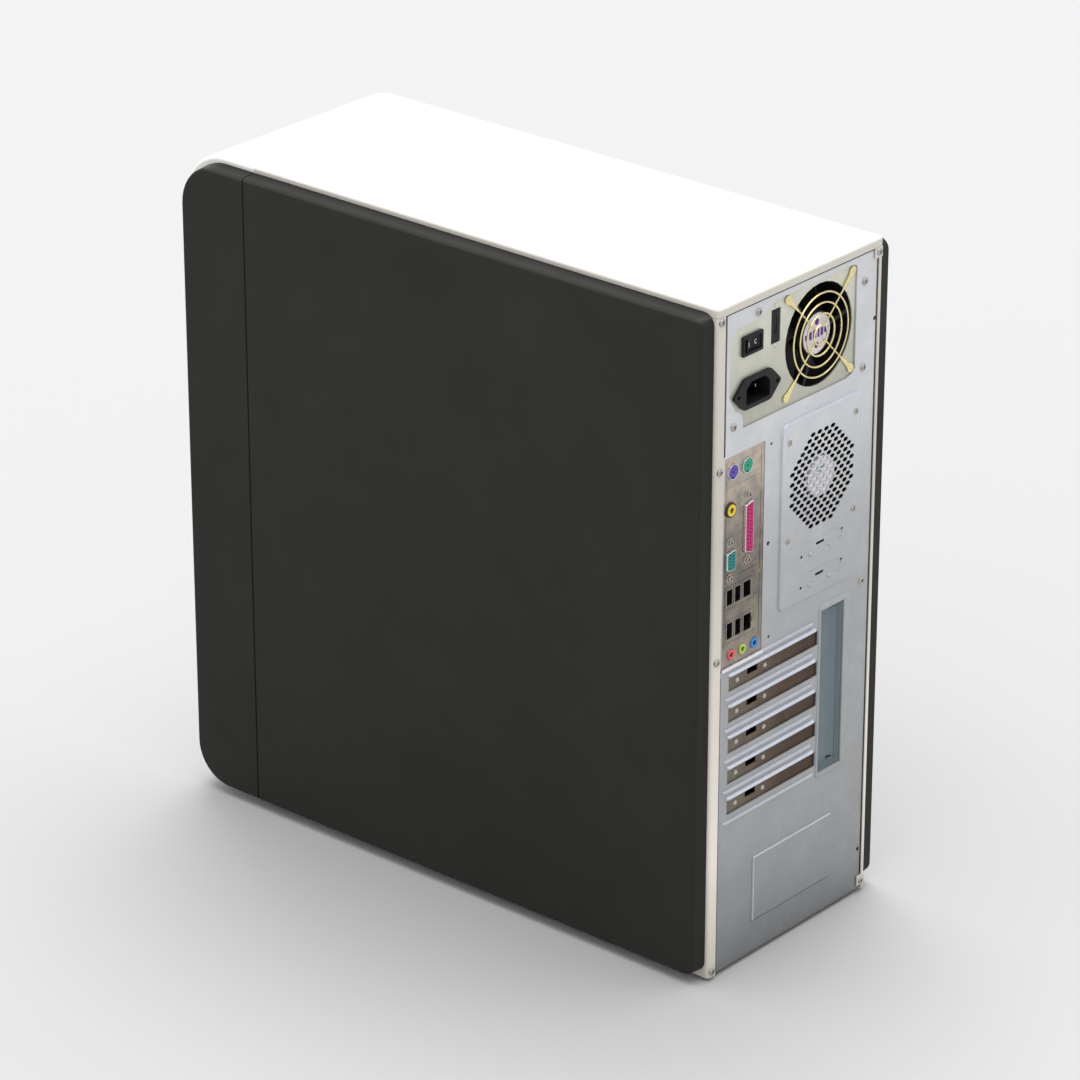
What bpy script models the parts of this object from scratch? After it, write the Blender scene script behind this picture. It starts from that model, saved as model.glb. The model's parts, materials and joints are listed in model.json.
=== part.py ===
"""A desktop computer tower: a mid-size steel case with moulded side skins, its rear connectors,
its drives and the board, cooler, fans and power supply that it holds.

Frame: +X is the motherboard side, +Y is the rear, +Z is up. The origin is under the middle of
the object, on the surface it stands on. Everything is in metres.
"""

import math

import bmesh
import bpy
from mathutils import Matrix, Vector

# ---------------------------------------------------------------- driving dimensions
WIDTH = 0.1855  # casing, across the painted side covers
HEIGHT = 0.5165  # casing, without its feet
DEPTH = 0.5015  # rear panel to the bezel's front
FOOT_HEIGHT = 0.003
REAR_PROUD = 0.002  # connectors' shells and screws beyond the rear panel
FRONT_PROUD = 0.0015  # power button beyond the bezel
BEZEL_DEPTH = 0.0712
SKIN_THICKNESS = 0.013  # moulded skins and cheeks, beyond the casing
SKIN_WALL = 0.0025
SKIN_MARGIN = 0.0044  # casing left showing round the skins
SKIN_DRAFT = 0.0008
SKIN_SET_BACK = 0.0012  # rear panel to the skins' rear edge
SHEET = 0.001  # steel sheet
GAP = 0.0003  # between neighbouring pieces
RETURN = 0.012  # folded edges of the chassis
LIP = 0.007  # rear lip and side folds of the top cover
EDGE_ROUND = 0.003

RIGHT_FLANGE = 0.0086
LEFT_FLANGE = 0.0043
TAB_WIDTH = 0.0095
TAB_HEIGHT = 0.008

PSU_SIZE = (0.158, 0.140, 0.087)
PSU_DROP = 0.0115  # top of the casing to the top of the power supply
FAN_SIZE = 0.080
FAN_DEPTH = 0.025
FAN_RIM = 0.002  # thinnest part of a fan's frame
FAN_SCREW_INSET = 0.00325  # a fan's edge to its screws
PSU_FAN_X = -0.023
PSU_FAN_RISE = 0.0013

BOARD_SIZE = (0.0016, 0.244, 0.305)
BOARD_DROP = 0.1085  # top of the casing to the board's upper edge
BOARD_STANDOFF = 0.0055
BOSS_INSET = 0.018  # board's rear edge to the first standoffs
SHIELD_SIZE = (0.045, 0.160)
SHIELD_DROP = 0.006  # board's upper edge to the shield's
SHIELD_THICKNESS = 0.0006

SLOT_COUNT = 5
SLOT_PITCH = 0.0243
SLOT_OPENING = (0.1021, 0.0115)
SLOT_DROP = 0.1751  # board's upper edge to the first slot opening
SLOT_INNER_X = 0.0103  # board's face to the slot openings
BRACKET_WIDTH = 0.0184
HOOD_SIZE = (0.0265, 0.006)
HOOD_MARGINS = (0.0145, 0.0068)  # above the first slot opening and below the last

VENT_SIZE = (0.0915, 0.143)
VENT_RISE = 0.0016
VENT_DROP = 0.0010  # board's upper edge to the vent plate's
VENT_X = -0.0272
VENT_FAN_DROP = 0.0534

DRIVE_525 = (0.146, 0.170, 0.0413)
FASCIA_525 = (0.1485, 0.042)
DRIVE_35 = (0.1016, 0.140, 0.0254)
BAY_DROP = 0.052  # top of the casing to the first bay
BAY_STEP = 0.0030  # between neighbouring bays
CAGE_DEPTH = 0.145
TRAY_SLOT = (0.130, 0.150, 0.0085)
BUTTON_TRAVEL = 0.0025
POWER_RADIUS = 0.009
RESET_RADIUS = 0.0035
POWER_DROP = 0.045  # last bay to the power button
RESET_STEP = 0.028

# ---------------------------------------------------------------- places worked out from them
FAN_BORE = FAN_SIZE / 2 - FAN_RIM
FAN_REACH = FAN_SIZE / 2 - FAN_SCREW_INSET
BASE = FOOT_HEIGHT
TOP = BASE + HEIGHT
REAR = (DEPTH + FRONT_PROUD - REAR_PROUD) / 2
FRONT = REAR - DEPTH
SEAM = FRONT + BEZEL_DEPTH
SIDE = WIDTH / 2
FRAME = SIDE - SHEET - GAP  # outer face of the chassis
REAR_LIP = REAR + GAP + SHEET  # outer face of the painted flanges
BEHIND = REAR - SHEET - GAP  # where pieces behind the rear panel start
SHELF = TOP - LIP - 2 * GAP - SHEET  # underside of the side covers' upper fold
INNER_FRONT = SEAM + 0.002 + SHEET + GAP
PSU_TOP = TOP - PSU_DROP
PSU_MID = PSU_TOP - PSU_SIZE[2] / 2
PSU_FAN_Z = PSU_MID + PSU_FAN_RISE
PSU_BOTTOM = PSU_TOP - PSU_SIZE[2]
BOARD_TOP = TOP - BOARD_DROP
BOARD_FACE = FRAME - SHEET - BOARD_STANDOFF - BOARD_SIZE[0]
BOARD_REAR = REAR - 0.0025
SHIELD_TOP = BOARD_TOP - SHIELD_DROP
SHIELD_LOW = SHIELD_TOP - SHIELD_SIZE[1]
SHIELD_RIGHT = BOARD_FACE - 0.0016
SHIELD_LEFT = SHIELD_RIGHT - SHIELD_SIZE[0]
SLOT_RIGHT = BOARD_FACE - SLOT_INNER_X
SLOT_LEFT = SLOT_RIGHT - SLOT_OPENING[0]
SLOT_TOPS = [BOARD_TOP - SLOT_DROP - i * SLOT_PITCH for i in range(SLOT_COUNT)]
SLOT_MIDS = [top - SLOT_OPENING[1] / 2 for top in SLOT_TOPS]
HOOD_TOP = SLOT_TOPS[0] + HOOD_MARGINS[0]
HOOD_LOW = SLOT_TOPS[-1] - SLOT_OPENING[1] - HOOD_MARGINS[1]
HOOD_RIGHT = SLOT_LEFT - 0.0025
VENT_TOP = BOARD_TOP - VENT_DROP
VENT_FAN_Z = BOARD_TOP - VENT_FAN_DROP
BAY_MIDS = [TOP - BAY_DROP - FASCIA_525[1] / 2 - i * (FASCIA_525[1] + BAY_STEP) for i in range(2)]
FLOPPY_MID = BAY_MIDS[1] - FASCIA_525[1] / 2 - 2 * BAY_STEP - DRIVE_35[2] / 2
HARD_DRIVE_MID = FLOPPY_MID - DRIVE_35[2] - 2 * BAY_STEP
POWER_Z = FLOPPY_MID - DRIVE_35[2] / 2 - POWER_DROP
RESET_Z = POWER_Z - RESET_STEP
INLET = (0.0475, PSU_BOTTOM + 0.0260)
INLET_BODY = (0.0150, 0.0105)
INLET_FLANGE = (0.0267, 0.0118)
SWITCH = (0.0531, PSU_BOTTOM + 0.0616)
SWITCH_BODY = (0.0100, 0.0063)
SWITCH_FLANGE = (0.0112, 0.0075)
SELECTOR = (0.0260, PSU_BOTTOM + 0.0659)
SELECTOR_BODY = (0.0048, 0.0124)
ROCKER_TILT = 7
# The connectors' noses on the shield: across, down and their half sizes or radius.
ROUND_PORTS = {
    "ps2_ports": [(0.0089, 0.0116, 0.0055), (0.0249, 0.0117, 0.0055)],
    "rca_socket": [(0.0067, 0.0396, 0.0046)],
    "audio_jacks": [(0.0105, 0.1518, 0.0040), (0.0232, 0.1518, 0.0040), (0.0365, 0.1518, 0.0040)],
}
D_PORTS = {  # and how far the jack screws are from the middle
    "parallel_port": (0.0267, 0.0590, 0.0038, 0.0192, 0.0248),
    "serial_port": (0.0071, 0.0782, 0.0042, 0.0071, 0.0136),
}
SQUARE_PORTS = {
    "usb_ports": [
        (0.0075, 0.1065, 0.0027, 0.0055), (0.0166, 0.1065, 0.0026, 0.0055), (0.0270, 0.1065, 0.0035, 0.0055),
    ],
    "lan_ports": [
        (0.0079, 0.1323, 0.0026, 0.0058), (0.0173, 0.1323, 0.0027, 0.0058), (0.0278, 0.1323, 0.0037, 0.0058),
    ],
}
PORT_WALL = 0.0006
SCREW_RADIUS = 0.0024
COOLER_SIZE = 0.070
COOLER_BACK = 0.050
COOLER_DOWN = 0.038
CPU_SOCKET_HEIGHT = 0.005
POWER_SOCKET_HEIGHT = 0.012
MEMORY_BACK = 0.138
MEMORY_STEP = 0.010
MEMORY_SOCKET_HEIGHT = 0.008
WIRE_RADIUS = 0.005
WIRE_START = (0.0, BEHIND - PSU_SIZE[1], PSU_BOTTOM + 0.015)
PASS = 0.002  # how far a cutter runs past the wall it cuts

FINISHES = {
    "white_paint": ((0.90, 0.89, 0.87), 0.45, 0.0),
    "cream_paint": ((0.66, 0.61, 0.55), 0.45, 0.0),
    "dark_plastic": ((0.032, 0.031, 0.028), 0.55, 0.0),
    "white_plastic": ((0.88, 0.87, 0.84), 0.40, 0.0),
    "galvanised": ((0.55, 0.58, 0.62), 0.40, 0.85),
    "psu_steel": ((0.52, 0.53, 0.45), 0.45, 0.70),
    "shield_steel": ((0.42, 0.38, 0.34), 0.40, 0.80),
    "black_plastic": ((0.012, 0.012, 0.013), 0.45, 0.0),
    "grey_plastic": ((0.10, 0.10, 0.11), 0.50, 0.0),
    "hood_steel": ((0.17, 0.20, 0.22), 0.45, 0.3),
    "gold_wire": ((0.75, 0.63, 0.32), 0.28, 1.0),
    "board_green": ((0.03, 0.14, 0.06), 0.45, 0.0),
    "aluminium": ((0.70, 0.71, 0.72), 0.35, 1.0),
    "rubber": ((0.02, 0.02, 0.02), 0.85, 0.0),
    "magenta_plastic": ((0.62, 0.05, 0.27), 0.45, 0.0),
    "teal_plastic": ((0.03, 0.30, 0.30), 0.45, 0.0),
    "yellow_plastic": ((0.80, 0.60, 0.05), 0.45, 0.0),
}


# ---------------------------------------------------------------- outlines
def rectangle(low, high):
    return [(low[0], low[1]), (high[0], low[1]), (high[0], high[1]), (low[0], high[1])]


def arc(centre, radius, start, end, steps):
    """Points round an arc, with angles in degrees from the outline's first axis."""
    angles = [math.radians(start + (end - start) * i / steps) for i in range(steps + 1)]
    return [(centre[0] + radius * math.cos(a), centre[1] + radius * math.sin(a)) for a in angles]


def circle(centre, radius, sides=24):
    return arc(centre, radius, 0, 360, sides)[:-1]


def rounded(low, high, radii, steps=4):
    """A rectangle with round corners: radii for (low low, high low, high high, low high)."""
    a, b, c, d = radii
    return (
        arc((low[0] + a, low[1] + a), a, 180, 270, steps)
        + arc((high[0] - b, low[1] + b), b, 270, 360, steps)
        + arc((high[0] - c, high[1] - c), c, 0, 90, steps)
        + arc((low[0] + d, high[1] - d), d, 90, 180, steps)
    )


def around(x, z, half_x, half_z):
    """The rectangle of this half-size round a point."""
    return rectangle((x - half_x, z - half_z), (x + half_x, z + half_z))


# ---------------------------------------------------------------- solids
def placed(point, along, axis):
    """A point of an outline, at a distance along the axis that the outline is swept on."""
    u, v = point
    return {"X": (along, u, v), "Y": (u, along, v), "Z": (u, v, along)}[axis]


def prism(outline, axis, start, end, far_outline=None):
    """A closed solid between an outline and the same outline, or another, further along the axis."""
    shape = bmesh.new()
    near = [shape.verts.new(placed(p, start, axis)) for p in outline]
    far = [shape.verts.new(placed(p, end, axis)) for p in far_outline or outline]
    shape.faces.new(near)
    shape.faces.new(far)
    for i in range(len(near)):
        j = (i + 1) % len(near)
        shape.faces.new((near[i], near[j], far[j], far[i]))
    bmesh.ops.recalc_face_normals(shape, faces=shape.faces)
    return shape


def box(low, high):
    return prism(rectangle(low[:2], high[:2]), "Z", low[2], high[2])


def disc(centre, radius, axis, start, end, sides=24):
    return prism(circle(centre, radius, sides), axis, start, end)


def gathered(shapes):
    """Several closed solids in one mesh."""
    whole = bmesh.new()
    for shape in shapes:
        mesh = bpy.data.meshes.new("part")
        shape.to_mesh(mesh)
        whole.from_mesh(mesh)
        bpy.data.meshes.remove(mesh)
        shape.free()
    return whole


def finish_of(name):
    """The finish as a Principled material, made once."""
    if name in bpy.data.materials:
        return bpy.data.materials[name]
    colour, roughness, metallic = FINISHES[name]
    made = bpy.data.materials.new(name)
    made.use_nodes = True
    shader = made.node_tree.nodes["Principled BSDF"]
    shader.inputs["Base Color"].default_value = (*colour, 1.0)
    shader.inputs["Roughness"].default_value = roughness
    shader.inputs["Metallic"].default_value = metallic
    return made


def as_object(name, shape):
    mesh = bpy.data.meshes.new(name)
    shape.to_mesh(mesh)
    shape.free()
    made = bpy.data.objects.new(name, mesh)
    bpy.context.scene.collection.objects.link(made)
    return made


def combine(piece, shapes, operation):
    """Adds a Boolean that joins these solids to the piece, or cuts them from it."""
    helper = as_object(f"{piece.name}_{operation.lower()}_{len(piece.modifiers)}", gathered(shapes))
    helper.hide_render = True
    helper.display_type = "WIRE"
    helper.parent = piece
    boolean = piece.modifiers.new(operation.title(), "BOOLEAN")
    boolean.operation = operation
    boolean.use_self = len(shapes) > 1
    boolean.object = helper


def node(name, finish, body, joins=(), cuts=(), adds=(), bevel=0.0, origin=(0, 0, 0), turn=None):
    """One named piece: its rounded body, with solids joined to it, others cut, and more added."""
    piece = as_object(name, body)
    piece.data.materials.append(finish_of(finish))
    if bevel:
        rounding = piece.modifiers.new("Round", "BEVEL")
        rounding.width = bevel
        rounding.segments = 3
        rounding.limit_method = "ANGLE"
        rounding.angle_limit = math.radians(50)
    if joins:
        combine(piece, joins, "UNION")
    if cuts:
        combine(piece, cuts, "DIFFERENCE")
    if adds:
        combine(piece, adds, "UNION")
    piece.data.shade_smooth()
    piece.data.set_sharp_from_angle(angle=math.radians(35))
    if turn:
        piece.data.transform(turn)
        for helper in piece.children:
            helper.data.transform(turn)
    move_origin(piece, origin)
    return piece


def move_origin(piece, origin):
    """Puts the object's origin at a point and leaves its surface where it is."""
    shift = Matrix.Translation(-Vector(origin))
    piece.data.transform(shift)
    for helper in piece.children:
        helper.data.transform(shift)
    piece.location = origin


# ---------------------------------------------------------------- casing
def top_cover():
    start = SEAM + GAP / 2
    body = box((-SIDE, SEAM - LIP, TOP - 3 * LIP), (SIDE, REAR_LIP, TOP))
    inside = box(
        (-SIDE + SHEET, SEAM - 2 * LIP, TOP - 4 * LIP), (SIDE - SHEET, REAR + GAP, TOP - SHEET)
    )
    front = box((-WIDTH, SEAM - 3 * LIP, TOP - 5 * LIP), (WIDTH, start, TOP + LIP))
    under = box((-WIDTH, SEAM - 4 * LIP, TOP - 6 * LIP), (WIDTH, REAR + 2 * LIP, TOP - LIP))
    node("top_cover", "white_paint", body, cuts=[inside, front, under], bevel=EDGE_ROUND)


def side_cover(name, sign, flange):
    """A painted side cover: its plate, with a fold behind the casing and one along its top."""
    top = TOP - LIP - GAP
    across = sorted((sign * (SIDE - flange), sign * SIDE))
    inner = sorted((sign * (SIDE - 2 * flange), sign * (SIDE - SHEET)))
    body = box((across[0], SEAM + GAP / 2, BASE), (across[1], REAR_LIP, top))
    inside = box((inner[0], SEAM - PASS, BASE - PASS), (inner[1], REAR + GAP, top - SHEET))
    tabs = []
    if flange < TAB_WIDTH:
        edges = sorted((sign * (SIDE - SHEET), sign * (SIDE - TAB_WIDTH)))
        for low in (top - TAB_HEIGHT, BASE + 0.0035):
            tabs.append(box((edges[0], REAR + GAP, low), (edges[1], REAR_LIP, low + TAB_HEIGHT)))
    node(name, "cream_paint", body, cuts=[inside], adds=tabs)


def skin_outline(rear, front, inset, rear_round, front_rounds):
    """A skin's outline in Y and Z. The front rounds are its lower and its upper one."""
    return rounded(
        (front + inset, BASE + SKIN_MARGIN + inset),
        (rear - inset, TOP - SKIN_MARGIN - inset),
        (front_rounds[0], rear_round, rear_round, front_rounds[1]),
        steps=6,
    )


def skin(name, sign, rear, front, cut_low, cut_high, rounds):
    """A moulded skin over a side, hollow towards the casing, trimmed between two Y values."""
    inner_face, outer_face = sign * (SIDE + GAP), sign * (SIDE + SKIN_THICKNESS)
    root = sign * (SIDE - SKIN_THICKNESS)
    near = skin_outline(rear, front, 0, *rounds)
    far = skin_outline(rear, front, 2 * SKIN_DRAFT, *rounds)
    body = prism(near, "X", root, outer_face, far)
    low, high = sorted((2 * root - inner_face, inner_face))
    casing = box((low, FRONT - PASS, BASE - PASS), (high, REAR + PASS, TOP + PASS))
    hollow_low, hollow_high = sorted((root, outer_face - sign * SKIN_WALL))
    hollow = prism(
        rounded(
            (max(front, cut_low) + 2 * SKIN_WALL, BASE + SKIN_MARGIN + 2 * SKIN_WALL),
            (min(rear, cut_high) - 2 * SKIN_WALL, TOP - SKIN_MARGIN - 2 * SKIN_WALL),
            (rounds[1][0] if front > cut_low else SKIN_WALL, rounds[0], rounds[0],
             rounds[1][1] if front > cut_low else SKIN_WALL),
            steps=4,
        ),
        "X",
        hollow_low,
        hollow_high,
    )
    ends = [
        box((-WIDTH, FRONT - WIDTH, BASE - 2 * PASS), (WIDTH, cut_low, TOP + 2 * PASS)),
        box((-WIDTH, cut_high, BASE - 3 * PASS), (WIDTH, REAR + WIDTH, TOP + 3 * PASS)),
    ]
    node(name, "dark_plastic", body, cuts=[casing, hollow, *ends], bevel=EDGE_ROUND)


def skins():
    seam_gap = 0.0004
    for label, sign in (("right", 1), ("left", -1)):
        skin(f"side_skin_{label}", sign, REAR - SKIN_SET_BACK, SEAM - 0.05, SEAM + seam_gap, REAR + PASS,
             (0.009, (0.009, 0.009)))
        skin(f"bezel_cheek_{label}", sign, SEAM + 0.05, FRONT + 0.0075, FRONT - PASS, SEAM - seam_gap,
             (0.009, (0.032, 0.035)))


def front_bezel():
    """The moulded front: a shell with a large round along its upper front edge."""
    wall = SKIN_WALL
    top_round, low_round = 0.040, 0.034
    back = SEAM + 0.05
    outer = rounded((FRONT, BASE), (back, TOP), (low_round, wall, wall, top_round), steps=8)
    body = prism(outer, "X", -SIDE, SIDE)
    inner = rounded(
        (FRONT + wall, BASE + wall),
        (back + wall, TOP - wall),
        (low_round - wall, wall, wall, top_round - wall),
        steps=6,
    )
    hollow = prism(inner, "X", -SIDE + wall, SIDE - wall)
    rear = box((-WIDTH, SEAM - GAP / 2, BASE - PASS), (WIDTH, REAR, TOP + PASS))
    half = FASCIA_525[0] / 2 + GAP
    through = (FRONT - PASS, FRONT + 2 * wall)
    openings = [
        prism(around(0, z, half, FASCIA_525[1] / 2 + GAP), "Y", *through) for z in BAY_MIDS
    ]
    floppy = around(0, FLOPPY_MID, DRIVE_35[0] / 2 + GAP, DRIVE_35[2] / 2 + GAP)
    openings.append(prism(floppy, "Y", *through))
    openings.append(disc((0, POWER_Z), POWER_RADIUS + GAP, "Y", *through))
    openings.append(disc((0, RESET_Z), RESET_RADIUS + GAP, "Y", *through, sides=16))
    for i in range(6):
        z = BASE + low_round + 0.008 + i * 0.012
        openings.append(prism(around(0, z, 0.055, 0.0018), "Y", *through))
    node("front_bezel", "white_plastic", body, cuts=[hollow, rear, *openings], bevel=EDGE_ROUND / 2)


def feet():
    inset_x, inset_y, radius = 0.022, 0.035, 0.011
    for side, x in (("right", SIDE - inset_x), ("left", -SIDE + inset_x)):
        for end, y in (("rear", REAR - inset_y), ("front", SEAM + inset_y)):
            body = prism(
                circle((x, y), radius * 0.85, 16), "Z", 0, FOOT_HEIGHT - GAP, circle((x, y), radius, 16)
            )
            node(f"foot_{side}_{end}", "rubber", body)


# ---------------------------------------------------------------- chassis
def floor_pan():
    start, end = INNER_FRONT - GAP + RETURN, REAR - RETURN - GAP
    body = box((-FRAME, start, BASE), (FRAME, end, BASE + RETURN))
    inside = box((-FRAME + SHEET, start - PASS, BASE + SHEET), (WIDTH, end + PASS, TOP))
    node("floor_pan", "galvanised", body, cuts=[inside])


def motherboard_tray():
    low, high = BASE + SHEET + GAP, SHELF
    start, end = INNER_FRONT - GAP + RETURN, REAR - RETURN - GAP
    body = box((FRAME - RETURN, start, low), (FRAME, end, high))
    inside = box((0, start - PASS, low + SHEET), (FRAME - SHEET, end + PASS, high - SHEET))
    bosses = []
    board_back = BOARD_FACE + BOARD_SIZE[0]
    for j in range(3):
        for k in range(3):
            y = BOARD_REAR - BOSS_INSET - j * (BOARD_SIZE[1] - BOSS_INSET - 0.010) / 2
            z = BOARD_TOP - 0.008 - k * (BOARD_SIZE[2] - 0.016) / 2
            bosses.append(
                disc((y, z), 0.0035, "X", board_back + GAP, FRAME - SHEET / 2, sides=8)
            )
    node("motherboard_tray", "galvanised", body, cuts=[inside], adds=bosses)


def top_rail():
    start, end = INNER_FRONT - GAP + RETURN, REAR - RETURN - GAP
    body = box((-FRAME, start, SHELF - RETURN), (-FRAME + RETURN, end, SHELF))
    inside = box((-FRAME + SHEET, start - PASS, BASE), (0, end + PASS, SHELF - SHEET))
    node("top_rail", "galvanised", body, cuts=[inside])


def front_frame():
    """The chassis front: a sheet with folded edges, open where drives and wires pass."""
    face = INNER_FRONT - GAP - SHEET
    end = face + SHEET + RETURN - GAP
    body = box((-FRAME, face, BASE), (FRAME, end, SHELF))
    inside = box((-FRAME + SHEET, face + SHEET, BASE + SHEET), (FRAME - SHEET, REAR, SHELF - SHEET))
    through = (face - PASS, face + 2 * SHEET)
    slack = 0.001
    openings = [
        prism(around(0, z, DRIVE_525[0] / 2 + slack, DRIVE_525[2] / 2 + slack), "Y", *through)
        for z in BAY_MIDS
    ]
    openings += [
        prism(around(0, z, DRIVE_35[0] / 2 + slack, DRIVE_35[2] / 2 + slack), "Y", *through)
        for z in (FLOPPY_MID, HARD_DRIVE_MID)
    ]
    openings.append(prism(around(0, RESET_Z - 0.035, 0.030, 0.012), "Y", *through))
    node("front_frame", "galvanised", body, cuts=[inside, *openings])


def cage(name, middles, size, slack):
    """A sheet tube that holds drives one above the other, open at both ends and at its sides."""
    half_x = size[0] / 2 + slack + SHEET
    high = max(middles) + size[2] / 2 + slack + SHEET
    low = min(middles) - size[2] / 2 - slack - SHEET
    body = box((-half_x, INNER_FRONT, low), (half_x, INNER_FRONT + CAGE_DEPTH, high))
    inside = box(
        (-half_x + SHEET, INNER_FRONT - PASS, low + SHEET),
        (half_x - SHEET, INNER_FRONT + CAGE_DEPTH + PASS, high - SHEET),
    )
    windows = [
        box(
            (-half_x - PASS, INNER_FRONT + CAGE_DEPTH * 0.38, z - size[2] * 0.3),
            (half_x + PASS, INNER_FRONT + CAGE_DEPTH * 0.70, z + size[2] * 0.3),
        )
        for z in middles
    ]
    node(name, "galvanised", body, cuts=[inside, *windows])


# ---------------------------------------------------------------- rear panel
def psu_window():
    """The opening over the power supply: a stepped outline that leaves its four screws covered."""
    right, left = PSU_SIZE[0] / 2 - 0.001, PSU_FAN_X - FAN_REACH - 0.00475
    top, shoulder = PSU_TOP - 0.0012, PSU_TOP - 0.0095
    low = PSU_BOTTOM + 0.0015
    return (
        [(right - 0.0157, low), (right - 0.0157, low + 0.0065), (right - 0.0130, low + 0.0115)]
        + [(right - 0.0068, low + 0.0150), (right - 0.0015, low + 0.0240), (right, low + 0.0268)]
        + arc((right - 0.013, shoulder - 0.013), 0.013, 0, 90, 4)
        + [(0.0430, shoulder), (0.0325, top - 0.003), (0.0250, top)]
        + [(left + 0.003, top), (left, top - 0.003)]
        + [(left, low + 0.0050), (left + 0.0040, low + 0.0017), (left + 0.0100, low)]
    )


def grille_holes(centre, radius, pitch, hole, start, end):
    """Rows of slots that fill a disc, each row half a pitch along from the one below."""
    holes = []
    rows = int(radius / pitch[1])
    columns = int(radius / pitch[0]) + 1
    for row in range(-rows, rows + 1):
        for column in range(-columns, columns + 1):
            x = (column + (row % 2) / 2) * pitch[0]
            z = row * pitch[1]
            if math.hypot(abs(x) + hole[0] / 2, z) <= radius:
                holes.append(
                    prism(around(centre[0] + x, centre[1] + z, hole[0] / 2, hole[1] / 2), "Y", start, end)
                )
    return holes


def rear_panel():
    low, high = BASE, TOP - SHEET - GAP
    body = box((-FRAME, REAR - RETURN, low), (FRAME, REAR, high))
    inside = box((-FRAME + SHEET, SEAM, low + SHEET), (FRAME - SHEET, REAR - SHEET, high - SHEET))
    notches = [
        box((x_low, SEAM, SHELF), (x_high, REAR + PASS, TOP))
        for x_low, x_high in ((SIDE - RIGHT_FLANGE - GAP, SIDE), (-SIDE, -SIDE + LEFT_FLANGE + GAP))
    ]
    vent_low = VENT_TOP - VENT_SIZE[1]
    vent_left, vent_right = VENT_X - VENT_SIZE[0] / 2, VENT_X + VENT_SIZE[0] / 2
    vent = rounded((vent_left, vent_low), (vent_right, VENT_TOP), (0.009, 0.002, 0.009, 0.009))
    rib_low = SLOT_TOPS[-1] - SLOT_OPENING[1] - 0.008
    raised = [prism(vent, "Y", REAR - SHEET / 2, REAR + VENT_RISE)]
    for top in SLOT_TOPS:
        raised.append(box((SLOT_LEFT + 0.003, REAR - SHEET / 2, top + 0.0004),
                          (SLOT_RIGHT - 0.002, REAR + 0.0008, top + 0.0022)))
        raised.append(box((SLOT_LEFT + 0.006, REAR - SHEET / 2, top + 0.0060),
                          (SLOT_RIGHT + 0.003, REAR + 0.0005, top + 0.0082)))
    raised.append(box((SLOT_LEFT, REAR - SHEET / 2, rib_low), (SLOT_RIGHT, REAR + 0.0005, rib_low + 0.002)))
    raised.append(box((-0.0485, REAR - SHEET / 2, BASE + 0.0265), (0.042, REAR + 0.0004, rib_low - 0.036)))
    through = (REAR - 2 * SHEET, REAR + VENT_RISE + PASS)
    holes = [
        prism(psu_window(), "Y", *through),
        prism(rectangle((SHIELD_LEFT, SHIELD_LOW), (SHIELD_RIGHT, SHIELD_TOP)), "Y", *through),
        prism(
            rectangle((HOOD_RIGHT - HOOD_SIZE[0], HOOD_LOW), (HOOD_RIGHT, HOOD_TOP)),
            "Y",
            *through,
        ),
    ]
    for top in SLOT_TOPS:
        holes.append(
            prism(rectangle((SLOT_LEFT, top - SLOT_OPENING[1]), (SLOT_RIGHT, top)), "Y", *through)
        )
    holes += grille_holes((VENT_X, VENT_FAN_Z), FAN_BORE, (0.0152, 0.0078), (0.0110, 0.0045), *through)
    back = rounded(
        (vent_left + SHEET, vent_low + SHEET),
        (vent_right - SHEET, VENT_TOP - SHEET),
        (0.008, 0.001, 0.008, 0.008),
    )
    hollow = prism(back, "Y", REAR - 2 * SHEET, REAR + VENT_RISE - SHEET)
    piece = node("rear_panel", "galvanised", body, cuts=[inside], adds=raised)
    combine(piece, [hollow, *notches, *holes], "DIFFERENCE")


def slot_covers():
    """Blank brackets behind the slot openings, each with two dimples, a hole and a bent end."""
    left = HOOD_RIGHT + GAP + SHEET
    for i, middle in enumerate(SLOT_MIDS):
        low, high = middle - BRACKET_WIDTH / 2, middle + BRACKET_WIDTH / 2
        body = box((left - SHEET, BEHIND - 0.011, low), (SLOT_RIGHT + 0.005, BEHIND, high))
        inside = box((left, BEHIND - 0.012, low - PASS), (SIDE, BEHIND - SHEET, high + PASS))
        hole = box((SLOT_RIGHT - 0.034, BEHIND - 2 * SHEET, middle), (SLOT_RIGHT - 0.022, REAR, middle + 0.005))
        node(f"slot_cover_{i + 1}", "shield_steel", body, cuts=[inside, hole])


def slot_screw_hood():
    """A shallow tray, let into the rear panel, over the screws of the slot covers."""
    x_high, x_low = HOOD_RIGHT - GAP, HOOD_RIGHT - HOOD_SIZE[0] + GAP
    z_high, z_low = HOOD_TOP - GAP, HOOD_LOW + GAP
    body = box((x_low, REAR - HOOD_SIZE[1], z_low), (x_high, REAR - 0.0002, z_high))
    inside = box(
        (x_low + SHEET, REAR - HOOD_SIZE[1] + SHEET, z_low + SHEET),
        (x_high - SHEET, REAR + PASS, z_high - SHEET),
    )
    slits = [
        box((x_low + 0.004, REAR - 0.02, z), (x_low + 0.010, REAR, z + 0.0016))
        for z in (z_low + 0.003, z_high - 0.0046)
    ]
    node("slot_screw_hood", "hood_steel", body, cuts=[inside, *slits])


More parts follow.
